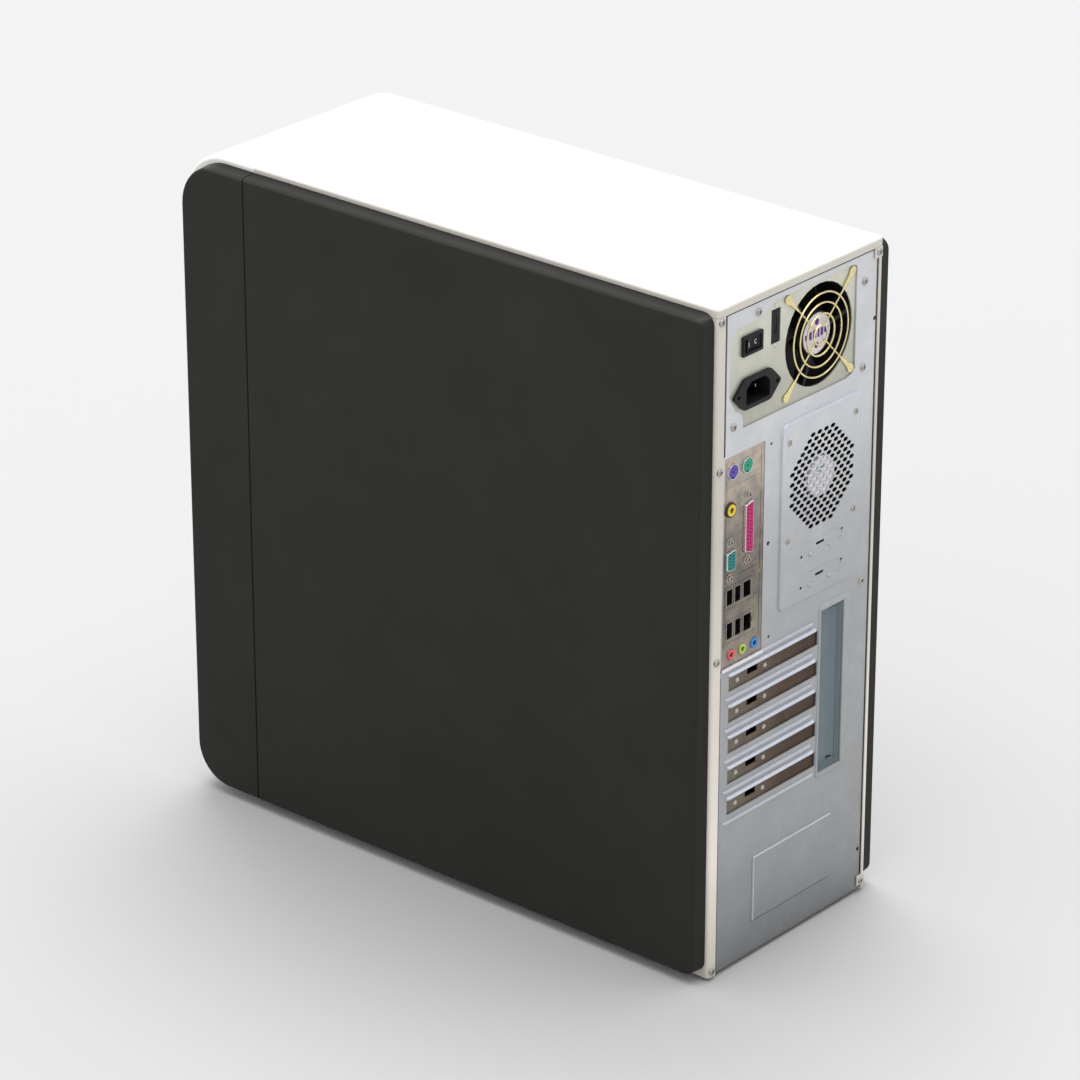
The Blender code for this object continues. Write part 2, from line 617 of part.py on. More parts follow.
# ---------------------------------------------------------------- fans
def fan(name, size, depth, bore, blades, finish, centre, turn):
    """A fan frame with a fixed hub on three struts, and the rotor behind it.

    It is made facing +Y, with its outer face in the plane y = 0, then turned and moved."""
    hub = bore * 0.43
    screws = size / 2 - FAN_SCREW_INSET - 0.001
    strut = 0.003
    frame = prism(
        rounded((-size / 2, -size / 2), (size / 2, size / 2), (0.005,) * 4, steps=2), "Y", -depth, 0
    )
    bore_cut = disc((0, 0), bore, "Y", -depth - PASS, PASS, sides=32)
    corners = [
        disc((sx * screws, sz * screws), 0.0022, "Y", -depth - PASS, PASS, sides=8)
        for sx in (-1, 1)
        for sz in (-1, 1)
    ]
    fixed = [disc((0, 0), hub, "Y", -0.0035, -0.0005, sides=24)]
    for i in range(3):
        arm = box((-strut / 2, -0.003, 0), (strut / 2, -0.001, bore + 0.001))
        bmesh.ops.rotate(arm, verts=arm.verts, matrix=Matrix.Rotation(math.tau * i / 3 + 0.7, 3, "Y"))
        fixed.append(arm)
    place = Matrix.Translation(centre) @ turn
    node(f"{name}_frame", finish, frame, cuts=[bore_cut, *corners], adds=fixed, turn=place)

    rotor_start, rotor_end = -0.0042, -depth + 0.002
    vanes = []
    for i in range(blades):
        chord = (rotor_start - rotor_end) * 0.80
        vane = box((-0.0007, -chord * 0.62, hub * 0.8), (0.0007, chord * 0.62, bore - 0.0015))
        bmesh.ops.rotate(vane, verts=vane.verts, matrix=Matrix.Rotation(math.radians(48), 3, "Z"))
        shift = Vector((0, (rotor_start + rotor_end) / 2, 0))
        bmesh.ops.translate(vane, verts=vane.verts, vec=shift)
        bmesh.ops.rotate(vane, verts=vane.verts, matrix=Matrix.Rotation(math.tau * i / blades, 3, "Y"))
        vanes.append(vane)
    rotor = disc((0, 0), hub, "Y", rotor_end, rotor_start, sides=20)
    node(f"{name}_rotor", finish, rotor, joins=vanes, origin=centre, turn=place)


# ---------------------------------------------------------------- power supply
def psu_case():
    """The power supply's base: one sheet folded into its rear face, its floor and its inner face."""
    half, top = PSU_SIZE[0] / 2 - SHEET - GAP, PSU_TOP - SHEET - GAP
    rear, front = BEHIND, BEHIND - PSU_SIZE[1]
    body = box((-half, front, PSU_BOTTOM), (half, rear, top))
    inside = box((-WIDTH, front + SHEET, PSU_BOTTOM + SHEET), (WIDTH, rear - SHEET, TOP))
    through = (rear - 2 * SHEET, rear + PASS)
    openings = [
        disc((PSU_FAN_X, PSU_FAN_Z), FAN_BORE, "Y", *through, sides=32),
        prism(around(*INLET, INLET_BODY[0] + GAP, INLET_BODY[1] + GAP), "Y", *through),
        prism(around(*SWITCH, SWITCH_BODY[0] + GAP, SWITCH_BODY[1] + GAP), "Y", *through),
        prism(around(*SELECTOR, SELECTOR_BODY[0] + GAP, SELECTOR_BODY[1] + GAP), "Y", *through),
    ]
    for i in range(9):
        x = -0.060 + i * 0.015
        openings.append(prism(around(x, PSU_MID, 0.002, 0.030), "Y", front - PASS, front + 2 * SHEET))
    lead = (WIRE_START[0], WIRE_START[2])
    openings.append(disc(lead, WIRE_RADIUS + 0.001, "Y", front - PASS, front + 2 * SHEET, sides=16))
    node("psu_case", "psu_steel", body, cuts=[inside, *openings])


def psu_cover():
    """The power supply's cover: one sheet folded over its top and its sides."""
    half = PSU_SIZE[0] / 2
    rear, front = BEHIND, BEHIND - PSU_SIZE[1]
    body = box((-half, front, PSU_BOTTOM), (half, rear, PSU_TOP))
    inside = box((-half + SHEET, front - PASS, BASE), (half - SHEET, rear + PASS, PSU_TOP - SHEET))
    node("psu_cover", "psu_steel", body, cuts=[inside])


def power_inlet():
    """A three-pin inlet: a six-sided flange, a body in the power supply and the cavity for a plug."""
    x, z = INLET
    wide, tall = INLET_FLANGE
    face = BEHIND + GAP
    flange = prism(
        [
            (x - wide, z), (x - wide * 0.55, z - tall), (x + wide * 0.55, z - tall),
            (x + wide, z), (x + wide * 0.55, z + tall), (x - wide * 0.55, z + tall),
        ],
        "Y", face, face + 0.0022,
    )
    half = (INLET_BODY[0] - 0.0006, INLET_BODY[1] - 0.0006)
    barrel = prism(around(x, z, *half), "Y", BEHIND - 0.022, face + 0.001)
    inner = (0.0130, 0.0082)
    chamfer = 0.005
    cavity = prism(
        [
            (x - inner[0], z - inner[1]), (x + inner[0], z - inner[1]),
            (x + inner[0], z + inner[1] - chamfer), (x + inner[0] - chamfer, z + inner[1]),
            (x - inner[0] + chamfer, z + inner[1]), (x - inner[0], z + inner[1] - chamfer),
        ],
        "Y", BEHIND - 0.015, REAR + 0.02,
    )
    pins = [
        box((x + dx - 0.001, BEHIND - 0.016, z + dz - 0.0022), (x + dx + 0.001, BEHIND - 0.002, z + dz + 0.0022))
        for dx, dz in ((-0.0072, -0.0015), (0, 0.0022), (0.0072, -0.0015))
    ]
    node("power_inlet", "black_plastic", flange, joins=[barrel], cuts=[cavity], adds=pins)


def psu_switch():
    """The rocker switch: its housing, and the rocker, at rest with its right side pressed in."""
    x, z = SWITCH
    face = BEHIND + GAP
    rim = prism(around(x, z, *SWITCH_FLANGE), "Y", face, face + 0.0018)
    barrel = prism(
        around(x, z, SWITCH_BODY[0] - 0.0006, SWITCH_BODY[1] - 0.0006), "Y", BEHIND - 0.016, face + 0.001
    )
    pocket = prism(around(x, z, 0.0090, 0.0052), "Y", BEHIND - 0.010, REAR + 0.02)
    node("psu_switch_housing", "black_plastic", rim, joins=[barrel], cuts=[pocket])
    pivot = Vector((x, BEHIND - 0.0005, z))
    profile = [(-0.0082, 0.0028), (0.0082, 0.0028), (0.0070, -0.0022), (0.0025, -0.0050),
               (-0.0025, -0.0050), (-0.0070, -0.0022)]
    points = [(pivot.x + u, pivot.y + v) for u, v in profile]
    body = prism(points, "Z", z - 0.0048, z + 0.0048)
    dish = disc((pivot.x, pivot.y + 0.0028 + 0.0395), 0.040, "Z", z - 0.004, z + 0.004, sides=96)
    tilt = (
        Matrix.Translation(pivot)
        @ Matrix.Rotation(math.radians(ROCKER_TILT), 4, "Z")
        @ Matrix.Translation(-pivot)
    )
    node("psu_switch_rocker", "black_plastic", body, cuts=[dish], origin=pivot, turn=tilt)


def voltage_selector():
    x, z = SELECTOR
    half = (SELECTOR_BODY[0] - 0.0001, SELECTOR_BODY[1] - 0.0001)
    body = prism(around(x, z, *half), "Y", BEHIND - 0.010, BEHIND - 0.0004)
    slot = prism(around(x, z, 0.0015, 0.0060), "Y", BEHIND - 0.0020, REAR)
    node("voltage_selector", "grey_plastic", body, cuts=[slot])


def fan_guard():
    """Three wire rings over the power supply's fan, on four legs that end in screw eyes."""
    wire = 0.0009
    low = BEHIND + GAP
    high = low + 2 * wire
    centre = Vector((PSU_FAN_X, PSU_FAN_Z))
    rings = [
        ring(centre, FAN_BORE - inset, wire, low + 0.0006, high + 0.0006)
        for inset in (0.0070, 0.0145, 0.0225)
    ]
    legs, holes = [], []
    for i in range(4):
        angle = math.radians(45 + 90 * i)
        along = Vector((math.cos(angle), math.sin(angle)))
        across = Vector((-along.y, along.x)) * wire
        start = centre + along * (FAN_BORE - 0.0230)
        end = centre + along * FAN_REACH * math.sqrt(2)
        outline = [start - across, end - across, end + across, start + across]
        legs.append(prism(outline, "Y", low + 0.0003, high + 0.0003))
        legs.append(disc(end, 0.0034, "Y", low, high, sides=12))
        holes.append(disc(end, 0.0015, "Y", low - PASS, high + PASS, sides=8))
    node("psu_fan_guard", "gold_wire", rings[0], joins=[*rings[1:], *legs], cuts=holes)


def ring(centre, radius, wire, start, end, sides=28):
    """A ring of square wire round the Y axis through a point of X and Z."""
    shape = bmesh.new()
    loops = []
    for r, y in ((radius - wire, start), (radius + wire, start), (radius + wire, end), (radius - wire, end)):
        loops.append([shape.verts.new((px, y, pz)) for px, pz in circle(centre, r, sides)])
    for i in range(4):
        a, b = loops[i], loops[(i + 1) % 4]
        for j in range(sides):
            k = (j + 1) % sides
            shape.faces.new((a[j], a[k], b[k], b[j]))
    bmesh.ops.recalc_face_normals(shape, faces=shape.faces)
    return shape


# ---------------------------------------------------------------- board and connectors
def port_at(dx, dz):
    """A point on the shield, from its upper corner beside the board: across it, then down."""
    return SHIELD_RIGHT - dx, SHIELD_TOP - dz


def d_outline(x, z, half_x, half_z):
    """A D-shaped connector's outline, wider on the side away from the board."""
    slant = half_z * 0.08 + 0.0006
    return [
        (x - half_x, z - half_z), (x + half_x, z - half_z + slant),
        (x + half_x, z + half_z - slant), (x - half_x, z + half_z),
    ]


def port_holes():
    """What the shield is cut by: an opening round each connector's nose, with a gap."""
    shapes = []
    for dx, dz, radius in ROUND_PORTS["ps2_ports"] + ROUND_PORTS["rca_socket"] + ROUND_PORTS["audio_jacks"]:
        shapes.append(circle(port_at(dx, dz), radius + GAP, 20))
    for dx, dz, half_x, half_z, screw in D_PORTS.values():
        x, z = port_at(dx, dz)
        shapes.append(d_outline(x, z, half_x + GAP, half_z + GAP))
        shapes += [circle((x, z + s * screw), SCREW_RADIUS + GAP, 8) for s in (-1, 1)]
    for name in SQUARE_PORTS:
        shapes.append(rectangle(*gang(name, PORT_WALL + GAP)))
    return [prism(outline, "Y", REAR - 0.004, REAR + 0.004) for outline in shapes]


def io_shield():
    outline = rectangle((SHIELD_LEFT + GAP, SHIELD_LOW + GAP), (SHIELD_RIGHT - GAP, SHIELD_TOP - GAP))
    plate = prism(outline, "Y", REAR - GAP - SHIELD_THICKNESS, REAR - GAP)
    node("io_shield", "shield_steel", plate, cuts=port_holes())


def port_body(dx_far, dz_low, dz_high, depth):
    """A connector's body on the board's face, behind the rear panel."""
    return box(
        (SHIELD_RIGHT - dx_far, BEHIND - depth, SHIELD_TOP - dz_high),
        (BOARD_FACE - GAP, BEHIND, SHIELD_TOP - dz_low),
    )


def round_ports(name, finish, body, proud, hole, depth):
    """Connectors with round noses, each with a round socket."""
    noses, sockets = [], []
    for dx, dz, radius in ROUND_PORTS[name]:
        centre = port_at(dx, dz)
        noses.append(disc(centre, radius, "Y", BEHIND - PASS, REAR + proud, sides=20))
        sockets.append(disc(centre, hole, "Y", REAR + proud - depth, REAR + proud + PASS, sides=12))
    node(name, finish, body, joins=noses, cuts=sockets)


def d_port(name, finish, body, braces=()):
    """A D-shaped connector and its two jack screws."""
    dx, dz, half_x, half_z, screw = D_PORTS[name]
    x, z = port_at(dx, dz)
    joins = [prism(d_outline(x, z, half_x, half_z), "Y", BEHIND - PASS, REAR + REAR_PROUD), *braces]
    for sign in (-1, 1):
        joins.append(disc((x, z + sign * screw), SCREW_RADIUS, "Y", BEHIND - PASS, REAR + REAR_PROUD, 6))
    node(name, finish, body, joins=joins)


def gang(name, margin):
    """The corners of the rectangle round a row of sockets, this much larger on each side."""
    dx, dz, half_x, half_z = zip(*SQUARE_PORTS[name])
    right, high = port_at(dx[0] - half_x[0] - margin, dz[0] - half_z[0] - margin)
    left, low = port_at(dx[-1] + half_x[-1] + margin, dz[-1] + half_z[-1] + margin)
    return (left, low), (right, high)


def square_ports(name, body):
    """A row of rectangular sockets in one block."""
    nose = prism(rectangle(*gang(name, PORT_WALL)), "Y", BEHIND - PASS, REAR + 0.0004)
    sockets = [
        prism(around(*port_at(dx, dz), half_x, half_z), "Y", REAR - 0.012, REAR + PASS)
        for dx, dz, half_x, half_z in SQUARE_PORTS[name]
    ]
    node(name, "black_plastic", body, joins=[nose], cuts=sockets)


def connectors():
    round_ports("ps2_ports", "black_plastic", port_body(0.0325, 0.0045, 0.0195, 0.013), 0.0008, 0.0038, 0.006)
    round_ports("rca_socket", "yellow_plastic", port_body(0.0155, 0.0325, 0.0465, 0.012), REAR_PROUD, 0.0016, 0.010)
    round_ports("audio_jacks", "black_plastic", port_body(0.0420, 0.1455, 0.1580, 0.014), 0.0008, 0.0018, 0.012)
    far, near, tall = SHIELD_RIGHT - 0.035, SHIELD_RIGHT - 0.024, 0.029
    _, middle = port_at(*D_PORTS["parallel_port"][:2])
    shell = box((far, BEHIND - 0.010, middle - tall), (near, BEHIND, middle + tall))
    brace_high = middle + 0.0112
    brace = box((near - PASS, BEHIND - 0.009, brace_high - 0.007), (BOARD_FACE - GAP, BEHIND - 0.001, brace_high))
    d_port("parallel_port", "magenta_plastic", shell, [brace])
    d_port("serial_port", "teal_plastic", port_body(0.0170, 0.0610, 0.0970, 0.010))
    square_ports("usb_ports", port_body(0.0330, 0.0990, 0.1140, 0.016))
    square_ports("lan_ports", port_body(0.0340, 0.1245, 0.1400, 0.016))


def on_board(y_back, z_down, size, height):
    """A block on the board's face, its rear upper corner measured from the board's."""
    y, z = BOARD_REAR - y_back, BOARD_TOP - z_down
    return box((BOARD_FACE - height, y - size[0], z - size[1]), (BOARD_FACE + BOARD_SIZE[0] / 2, y, z))


def motherboard():
    low = (BOARD_FACE, BOARD_REAR - BOARD_SIZE[1], BOARD_TOP - BOARD_SIZE[2])
    body = box(low, (BOARD_FACE + BOARD_SIZE[0], BOARD_REAR, BOARD_TOP))
    blocks = [
        on_board(COOLER_BACK + 0.010, COOLER_DOWN + 0.010, (0.050, 0.050), CPU_SOCKET_HEIGHT),
        on_board(0.205, 0.013, (0.010, 0.052), POWER_SOCKET_HEIGHT),
        on_board(0.223, 0.145, (0.009, 0.055), 0.009),
        on_board(0.150, 0.190, (0.035, 0.035), 0.010),
    ]
    for i in range(2):
        blocks.append(on_board(MEMORY_BACK + i * MEMORY_STEP, 0.018, (0.0065, 0.140), MEMORY_SOCKET_HEIGHT))
    for middle in SLOT_MIDS:
        blocks.append(on_board(0.050, BOARD_TOP - middle - 0.004, (0.085, 0.008), 0.011))
    node("motherboard", "board_green", body, joins=blocks)


def cooler():
    """The processor's finned block, with its fan facing away from the board."""
    face = BOARD_FACE - CPU_SOCKET_HEIGHT - GAP
    y, z = BOARD_REAR - COOLER_BACK, BOARD_TOP - COOLER_DOWN
    size, height, base, fins = COOLER_SIZE, 0.034, 0.006, 12
    body = box((face - height, y - size, z - size), (face, y, z))
    pitch = size / fins
    slots = []
    for i in range(fins - 1):
        mid = y - pitch * (i + 1)
        slots.append(
            box((face - height - PASS, mid - pitch * 0.33, z - size - PASS), (face - base, mid + pitch * 0.33, z + PASS))
        )
    node("cpu_heatsink", "aluminium", body, cuts=slots)
    centre = Vector((face - height - GAP - 0.015, y - size / 2, z - size / 2))
    fan("cpu_fan", size, 0.015, 0.033, 7, "black_plastic", centre, Matrix.Rotation(math.pi / 2, 4, "Z"))


def memory_module():
    """One memory module in the first of the board's two sockets."""
    y = BOARD_REAR - MEMORY_BACK - 0.0026
    high = BOARD_FACE - MEMORY_SOCKET_HEIGHT - GAP
    body = box((high - 0.030, y - 0.0013, BOARD_TOP - 0.155), (high, y, BOARD_TOP - 0.022))
    chips = [
        box((high - 0.020, y - 0.0024, BOARD_TOP - 0.030 - 0.0155 * k - 0.011),
            (high - 0.008, y - 0.0006, BOARD_TOP - 0.030 - 0.0155 * k))
        for k in range(8)
    ]
    node("memory_module", "board_green", body, joins=chips)


def smooth_path(points, steps=6):
    """A smooth curve through a route's points, as a list of points along it."""
    ends = [points[0] * 2 - points[1], *points, points[-1] * 2 - points[-2]]
    path = []
    for a, b, c, d in zip(ends, ends[1:], ends[2:], ends[3:]):
        for i in range(steps):
            t = i / steps
            path.append(
                0.5 * (2 * b + (c - a) * t + (2 * a - 5 * b + 4 * c - d) * t**2 + (3 * b - a - 3 * c + d) * t**3)
            )
    return [*path, points[-1]]


def power_lead():
    """The sleeved lead from the power supply to the board."""
    start = Vector(WIRE_START) + Vector((0, -GAP, 0))
    end = Vector((BOARD_FACE - POWER_SOCKET_HEIGHT - GAP, BOARD_REAR - 0.210, BOARD_TOP - 0.039))
    route = [
        start,
        start + Vector((0, -0.020, -0.001)),
        start + Vector((0.004, -0.042, -0.012)),
        start.lerp(end, 0.55) + Vector((-0.010, -0.016, -0.010)),
        end + Vector((-0.030, -0.004, -0.002)),
        end + Vector((-0.012, 0, 0)),
        end,
    ]
    curve = bpy.data.curves.new("power_lead", "CURVE")
    curve.dimensions = "3D"
    curve.bevel_depth = WIRE_RADIUS
    curve.bevel_resolution = 2
    curve.use_fill_caps = True
    points = smooth_path(route)
    spline = curve.splines.new("POLY")
    spline.points.add(len(points) - 1)
    for point, place in zip(spline.points, points):
        point.co = (*place, 1)
    lead = bpy.data.objects.new("power_lead", curve)
    curve.materials.append(finish_of("black_plastic"))
    bpy.context.scene.collection.objects.link(lead)


# ---------------------------------------------------------------- drives and buttons
def optical_drive():
    z = BAY_MIDS[0]
    tray_z = z + 0.006
    half_x, half_z = FASCIA_525[0] / 2, FASCIA_525[1] / 2
    body = box(
        (-DRIVE_525[0] / 2, FRONT + 0.004, z - DRIVE_525[2] / 2),
        (DRIVE_525[0] / 2, FRONT + 0.006 + DRIVE_525[1], z + DRIVE_525[2] / 2),
    )
    fascia = prism(around(0, z, half_x, half_z), "Y", FRONT + 0.0002, FRONT + 0.006)
    slot_x, slot_y, slot_z = TRAY_SLOT
    lip_x, lip_z, lip_depth = slot_x / 2 + 0.002, slot_z / 2 + 0.0015, 0.003
    slot = box((-slot_x / 2, FRONT - PASS, tray_z - slot_z / 2), (slot_x / 2, FRONT + slot_y, tray_z + slot_z / 2))
    pocket = prism(around(0, tray_z, lip_x + GAP, lip_z + GAP), "Y", FRONT - 2 * PASS, FRONT + lip_depth + GAP)
    button_x, button_z = 0.055, z - 0.012
    hole = prism(around(button_x, button_z, 0.0050, 0.0020), "Y", FRONT - PASS, FRONT + 0.0065)
    node("optical_drive", "grey_plastic", body, joins=[fascia], cuts=[slot, pocket, hole])

    plate = box(
        (-slot_x / 2 + 0.001, FRONT + 0.001, tray_z - slot_z / 2 + 0.001),
        (slot_x / 2 - 0.001, FRONT + slot_y - 0.004, tray_z + 0.0015),
    )
    lip = prism(around(0, tray_z, lip_x, lip_z), "Y", FRONT, FRONT + lip_depth)
    middle = FRONT + 0.070
    recess = disc((0, middle), 0.0605, "Z", tray_z - 0.0005, tray_z + 0.02, sides=40)
    spindle = box((-0.018, middle - 0.016, tray_z - 0.02), (0.018, middle + 0.052, tray_z + 0.02))
    node("optical_tray", "grey_plastic", plate, joins=[lip], cuts=[recess, spindle])
    button = prism(around(button_x, button_z, 0.0046, 0.0016), "Y", FRONT - 0.0006, FRONT + 0.0050)
    node("optical_button", "grey_plastic", button)


def bay_cover():
    z, wall = BAY_MIDS[1], 0.002
    half_x, half_z = FASCIA_525[0] / 2, FASCIA_525[1] / 2
    body = prism(around(0, z, half_x, half_z), "Y", FRONT + 0.0002, FRONT + 0.010)
    inside = prism(around(0, z, half_x - wall, half_z - wall), "Y", FRONT + wall, FRONT + 0.02)
    groove = prism(around(0, z, half_x - 0.008, 0.0006), "Y", FRONT - PASS, FRONT + 0.0008)
    node("bay_cover", "white_plastic", body, cuts=[inside, groove])


def floppy_drive():
    z = FLOPPY_MID
    half_x, half_z = DRIVE_35[0] / 2, DRIVE_35[2] / 2
    body = prism(around(0, z, half_x, half_z), "Y", FRONT + 0.0002, FRONT + DRIVE_35[1])
    slot = prism(around(0, z + 0.003, 0.0460, 0.0019), "Y", FRONT - PASS, FRONT + 0.100)
    finger = prism(around(0, z + 0.003, 0.012, 0.0050), "Y", FRONT - PASS, FRONT + 0.004)
    button_x, button_z = 0.036, z - 0.0065
    hole = prism(around(button_x, button_z, 0.0060, 0.0028), "Y", FRONT - PASS, FRONT + 0.0105)
    node("floppy_drive", "grey_plastic", body, cuts=[slot, finger, hole])
    button = prism(around(button_x, button_z, 0.0056, 0.0024), "Y", FRONT - 0.0012, FRONT + 0.0060)
    node("floppy_button", "grey_plastic", button)


def hard_drive():
    z, start = HARD_DRIVE_MID, INNER_FRONT + 0.008
    half_x, half_z = DRIVE_35[0] / 2, DRIVE_35[2] / 2
    body = prism(around(0, z, half_x, half_z), "Y", start, start + 0.147)
    bay = box((-half_x + 0.008, start + 0.140, z - half_z + 0.004), (half_x - 0.008, REAR, z - half_z + 0.012))
    node("hard_drive", "aluminium", body, cuts=[bay], bevel=0.0015)


def buttons():
    reach = FRONT + 0.012
    for name, z, radius, proud in (
        ("power_button", POWER_Z, POWER_RADIUS, FRONT_PROUD),
        ("reset_button", RESET_Z, RESET_RADIUS, FRONT_PROUD / 3),
    ):
        cap = disc((0, z), radius, "Y", FRONT - proud, FRONT + 0.006)
        stem = disc((0, z), radius * 0.4, "Y", FRONT + 0.003, reach, sides=12)
        node(name, "grey_plastic", cap, joins=[stem])
    start = reach + BUTTON_TRAVEL + GAP
    board = box((-0.020, start + 0.004, RESET_Z - 0.012), (0.020, start + 0.0056, POWER_Z + 0.012))
    switches = [
        box((-0.004, start, z - 0.004), (0.004, start + 0.005, z + 0.004)) for z in (POWER_Z, RESET_Z)
    ]
    node("switch_board", "board_green", board, joins=switches)


def main():
    for old in list(bpy.data.objects):
        bpy.data.objects.remove(old, do_unlink=True)
    top_cover()
    side_cover("side_cover_right", 1, RIGHT_FLANGE)
    side_cover("side_cover_left", -1, LEFT_FLANGE)
    skins()
    front_bezel()
    feet()
    floor_pan()
    motherboard_tray()
    top_rail()
    front_frame()
    cage("drive_cage_525", BAY_MIDS, DRIVE_525, 0.0006)
    cage("drive_cage_35", [FLOPPY_MID, HARD_DRIVE_MID], DRIVE_35, 0.0006)
    rear_panel()
    slot_covers()
    slot_screw_hood()
    psu_case()
    psu_cover()
    power_inlet()
    psu_switch()
    voltage_selector()
    fan_guard()
    no_turn = Matrix.Identity(4)
    psu_fan = Vector((PSU_FAN_X, BEHIND - SHEET - GAP, PSU_FAN_Z))
    fan("psu_fan", FAN_SIZE, FAN_DEPTH, FAN_BORE, 7, "black_plastic", psu_fan, no_turn)
    case_fan = Vector((VENT_X, BEHIND, VENT_FAN_Z))
    fan("case_fan", FAN_SIZE, FAN_DEPTH, FAN_BORE, 7, "black_plastic", case_fan, no_turn)
    io_shield()
    connectors()
    motherboard()
    cooler()
    memory_module()
    power_lead()
    optical_drive()
    bay_cover()
    floppy_drive()
    hard_drive()
    buttons()


main()
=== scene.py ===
"""The looks of a desktop computer tower: its painted covers, moulded skins, pressed steel rear with its
connectors, and the board, drives and fans inside. Metres, +Z up, +Y to the rear, +X to the board."""

import json
import math
import random

import bmesh
import bpy
from mathutils import Matrix, Vector


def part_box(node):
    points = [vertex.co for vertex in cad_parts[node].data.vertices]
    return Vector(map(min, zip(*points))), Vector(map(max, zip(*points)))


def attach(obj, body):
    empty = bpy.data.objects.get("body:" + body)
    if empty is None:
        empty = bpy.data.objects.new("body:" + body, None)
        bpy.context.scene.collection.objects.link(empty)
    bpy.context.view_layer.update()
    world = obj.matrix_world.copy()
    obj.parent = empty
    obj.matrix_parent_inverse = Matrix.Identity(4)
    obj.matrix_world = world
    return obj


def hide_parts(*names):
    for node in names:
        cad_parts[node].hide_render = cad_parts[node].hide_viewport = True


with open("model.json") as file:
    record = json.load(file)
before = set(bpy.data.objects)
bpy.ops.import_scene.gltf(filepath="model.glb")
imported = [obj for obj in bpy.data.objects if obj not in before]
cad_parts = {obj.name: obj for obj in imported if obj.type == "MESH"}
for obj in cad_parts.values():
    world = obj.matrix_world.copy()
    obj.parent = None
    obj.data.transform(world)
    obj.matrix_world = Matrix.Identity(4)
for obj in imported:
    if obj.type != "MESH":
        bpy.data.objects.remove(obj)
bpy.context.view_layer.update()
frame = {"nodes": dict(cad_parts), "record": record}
chance = random.Random(7)

# ---------------------------------------------------------------- sizes and places, from the frame
MM = 0.001
GAP = 0.3 * MM
SHEET = 1.0 * MM
LIP = 7 * MM  # rear lip and side folds of the top cover
RETURN = 12 * MM  # folded edges of the rear panel
SKIN_WALL = 2.5 * MM
SKIN_ROUND = 2.2 * MM
PROUD = 2.0 * MM  # connectors beyond the rear panel
VENT_RISE = 1.6 * MM  # the case fan's plate over the rear panel
SKIN_DEPTH = 13 * MM
SIDE, REAR_LIP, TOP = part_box("top_cover")[1]
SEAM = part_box("top_cover")[0].y - GAP / 2
FRONT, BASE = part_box("front_bezel")[0].yz
REAR = REAR_LIP - SHEET - GAP  # outer face of the rear panel
BEHIND = REAR - SHEET - GAP
FRAME = SIDE - SHEET - GAP


def middle(name):
    low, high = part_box(name)
    return (low + high) / 2


SHIELD_LOW, SHIELD_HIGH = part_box("io_shield")
PSU_LOW, PSU_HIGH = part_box("psu_cover")
PSU_FAN = middle("psu_fan_frame")
CASE_FAN = middle("case_fan_frame")
FAN_HALF = (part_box("case_fan_frame")[1].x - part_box("case_fan_frame")[0].x) / 2
FAN_BORE = FAN_HALF - 2 * MM
FAN_REACH = FAN_HALF - 3.25 * MM  # fan centre to its screws, along X and Z
HOOD_LOW, HOOD_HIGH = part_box("slot_screw_hood")
BOARD_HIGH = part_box("motherboard")[1]
BOARD_THICK = 1.6 * MM
BOARD_FACE = BOARD_HIGH.x - BOARD_THICK  # the side of the board that carries its parts
SLOT_MIDS = [middle(f"slot_cover_{i}").z for i in range(1, 6)]
SLOT_HALF = 5.75 * MM
SLOT_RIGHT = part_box("slot_cover_1")[1].x - 5 * MM
SLOT_LEFT = SLOT_RIGHT - 102.1 * MM
VENT_LOW = Vector((CASE_FAN.x - 45.75 * MM, BOARD_HIGH.z - 144 * MM))
VENT_HIGH = Vector((CASE_FAN.x + 45.75 * MM, BOARD_HIGH.z - 1 * MM))


# ---------------------------------------------------------------- outlines
def rectangle(low, high):
    return [(low[0], low[1]), (high[0], low[1]), (high[0], high[1]), (low[0], high[1])]


def arc(centre, radius, start, end, steps=8):
    angles = [math.radians(start + (end - start) * i / steps) for i in range(steps + 1)]
    return [(centre[0] + radius * math.cos(a), centre[1] + radius * math.sin(a)) for a in angles]


def circle(centre, radius, sides=32):
    return arc(centre, radius, 0, 360, sides)[:-1]


def rounded(low, high, radii, steps=8):
    """A rectangle with round corners: one radius, or four from the low low corner anticlockwise."""
    a, b, c, d = radii if isinstance(radii, tuple) else (radii,) * 4
    return (
        arc((low[0] + a, low[1] + a), a, 180, 270, steps)
        + arc((high[0] - b, low[1] + b), b, 270, 360, steps)
        + arc((high[0] - c, high[1] - c), c, 0, 90, steps)
        + arc((low[0] + d, high[1] - d), d, 90, 180, steps)
    )


def around(x, z, half_x, half_z, radius=0.0):
    low, high = (x - half_x, z - half_z), (x + half_x, z + half_z)
    return rounded(low, high, radius, 4) if radius else rectangle(low, high)


def blunt(corners, radius, steps=4):
    """A polygon with each corner rounded."""
    outline = []
    count = len(corners)
    for i, corner in enumerate(corners):
        here = Vector(corner)
        before = (Vector(corners[i - 1]) - here)
        after = (Vector(corners[(i + 1) % count]) - here)
        reach = min(radius, before.length * 0.45, after.length * 0.45)
        a, b = here + before.normalized() * reach, here + after.normalized() * reach
        for k in range(steps + 1):
            t = k / steps
            point = a * (1 - t) ** 2 + here * 2 * t * (1 - t) + b * t ** 2
            outline.append((point.x, point.y))
    return outline


def clipped(x, z, half_x, half_z, cut_x, cut_z, radius):
    """A rectangle with its two upper corners cut off, rounded all round."""
    return blunt([
        (x - half_x, z - half_z), (x + half_x, z - half_z), (x + half_x, z + half_z - cut_z),
        (x + half_x - cut_x, z + half_z), (x - half_x + cut_x, z + half_z),
        (x - half_x, z + half_z - cut_z), ], radius)


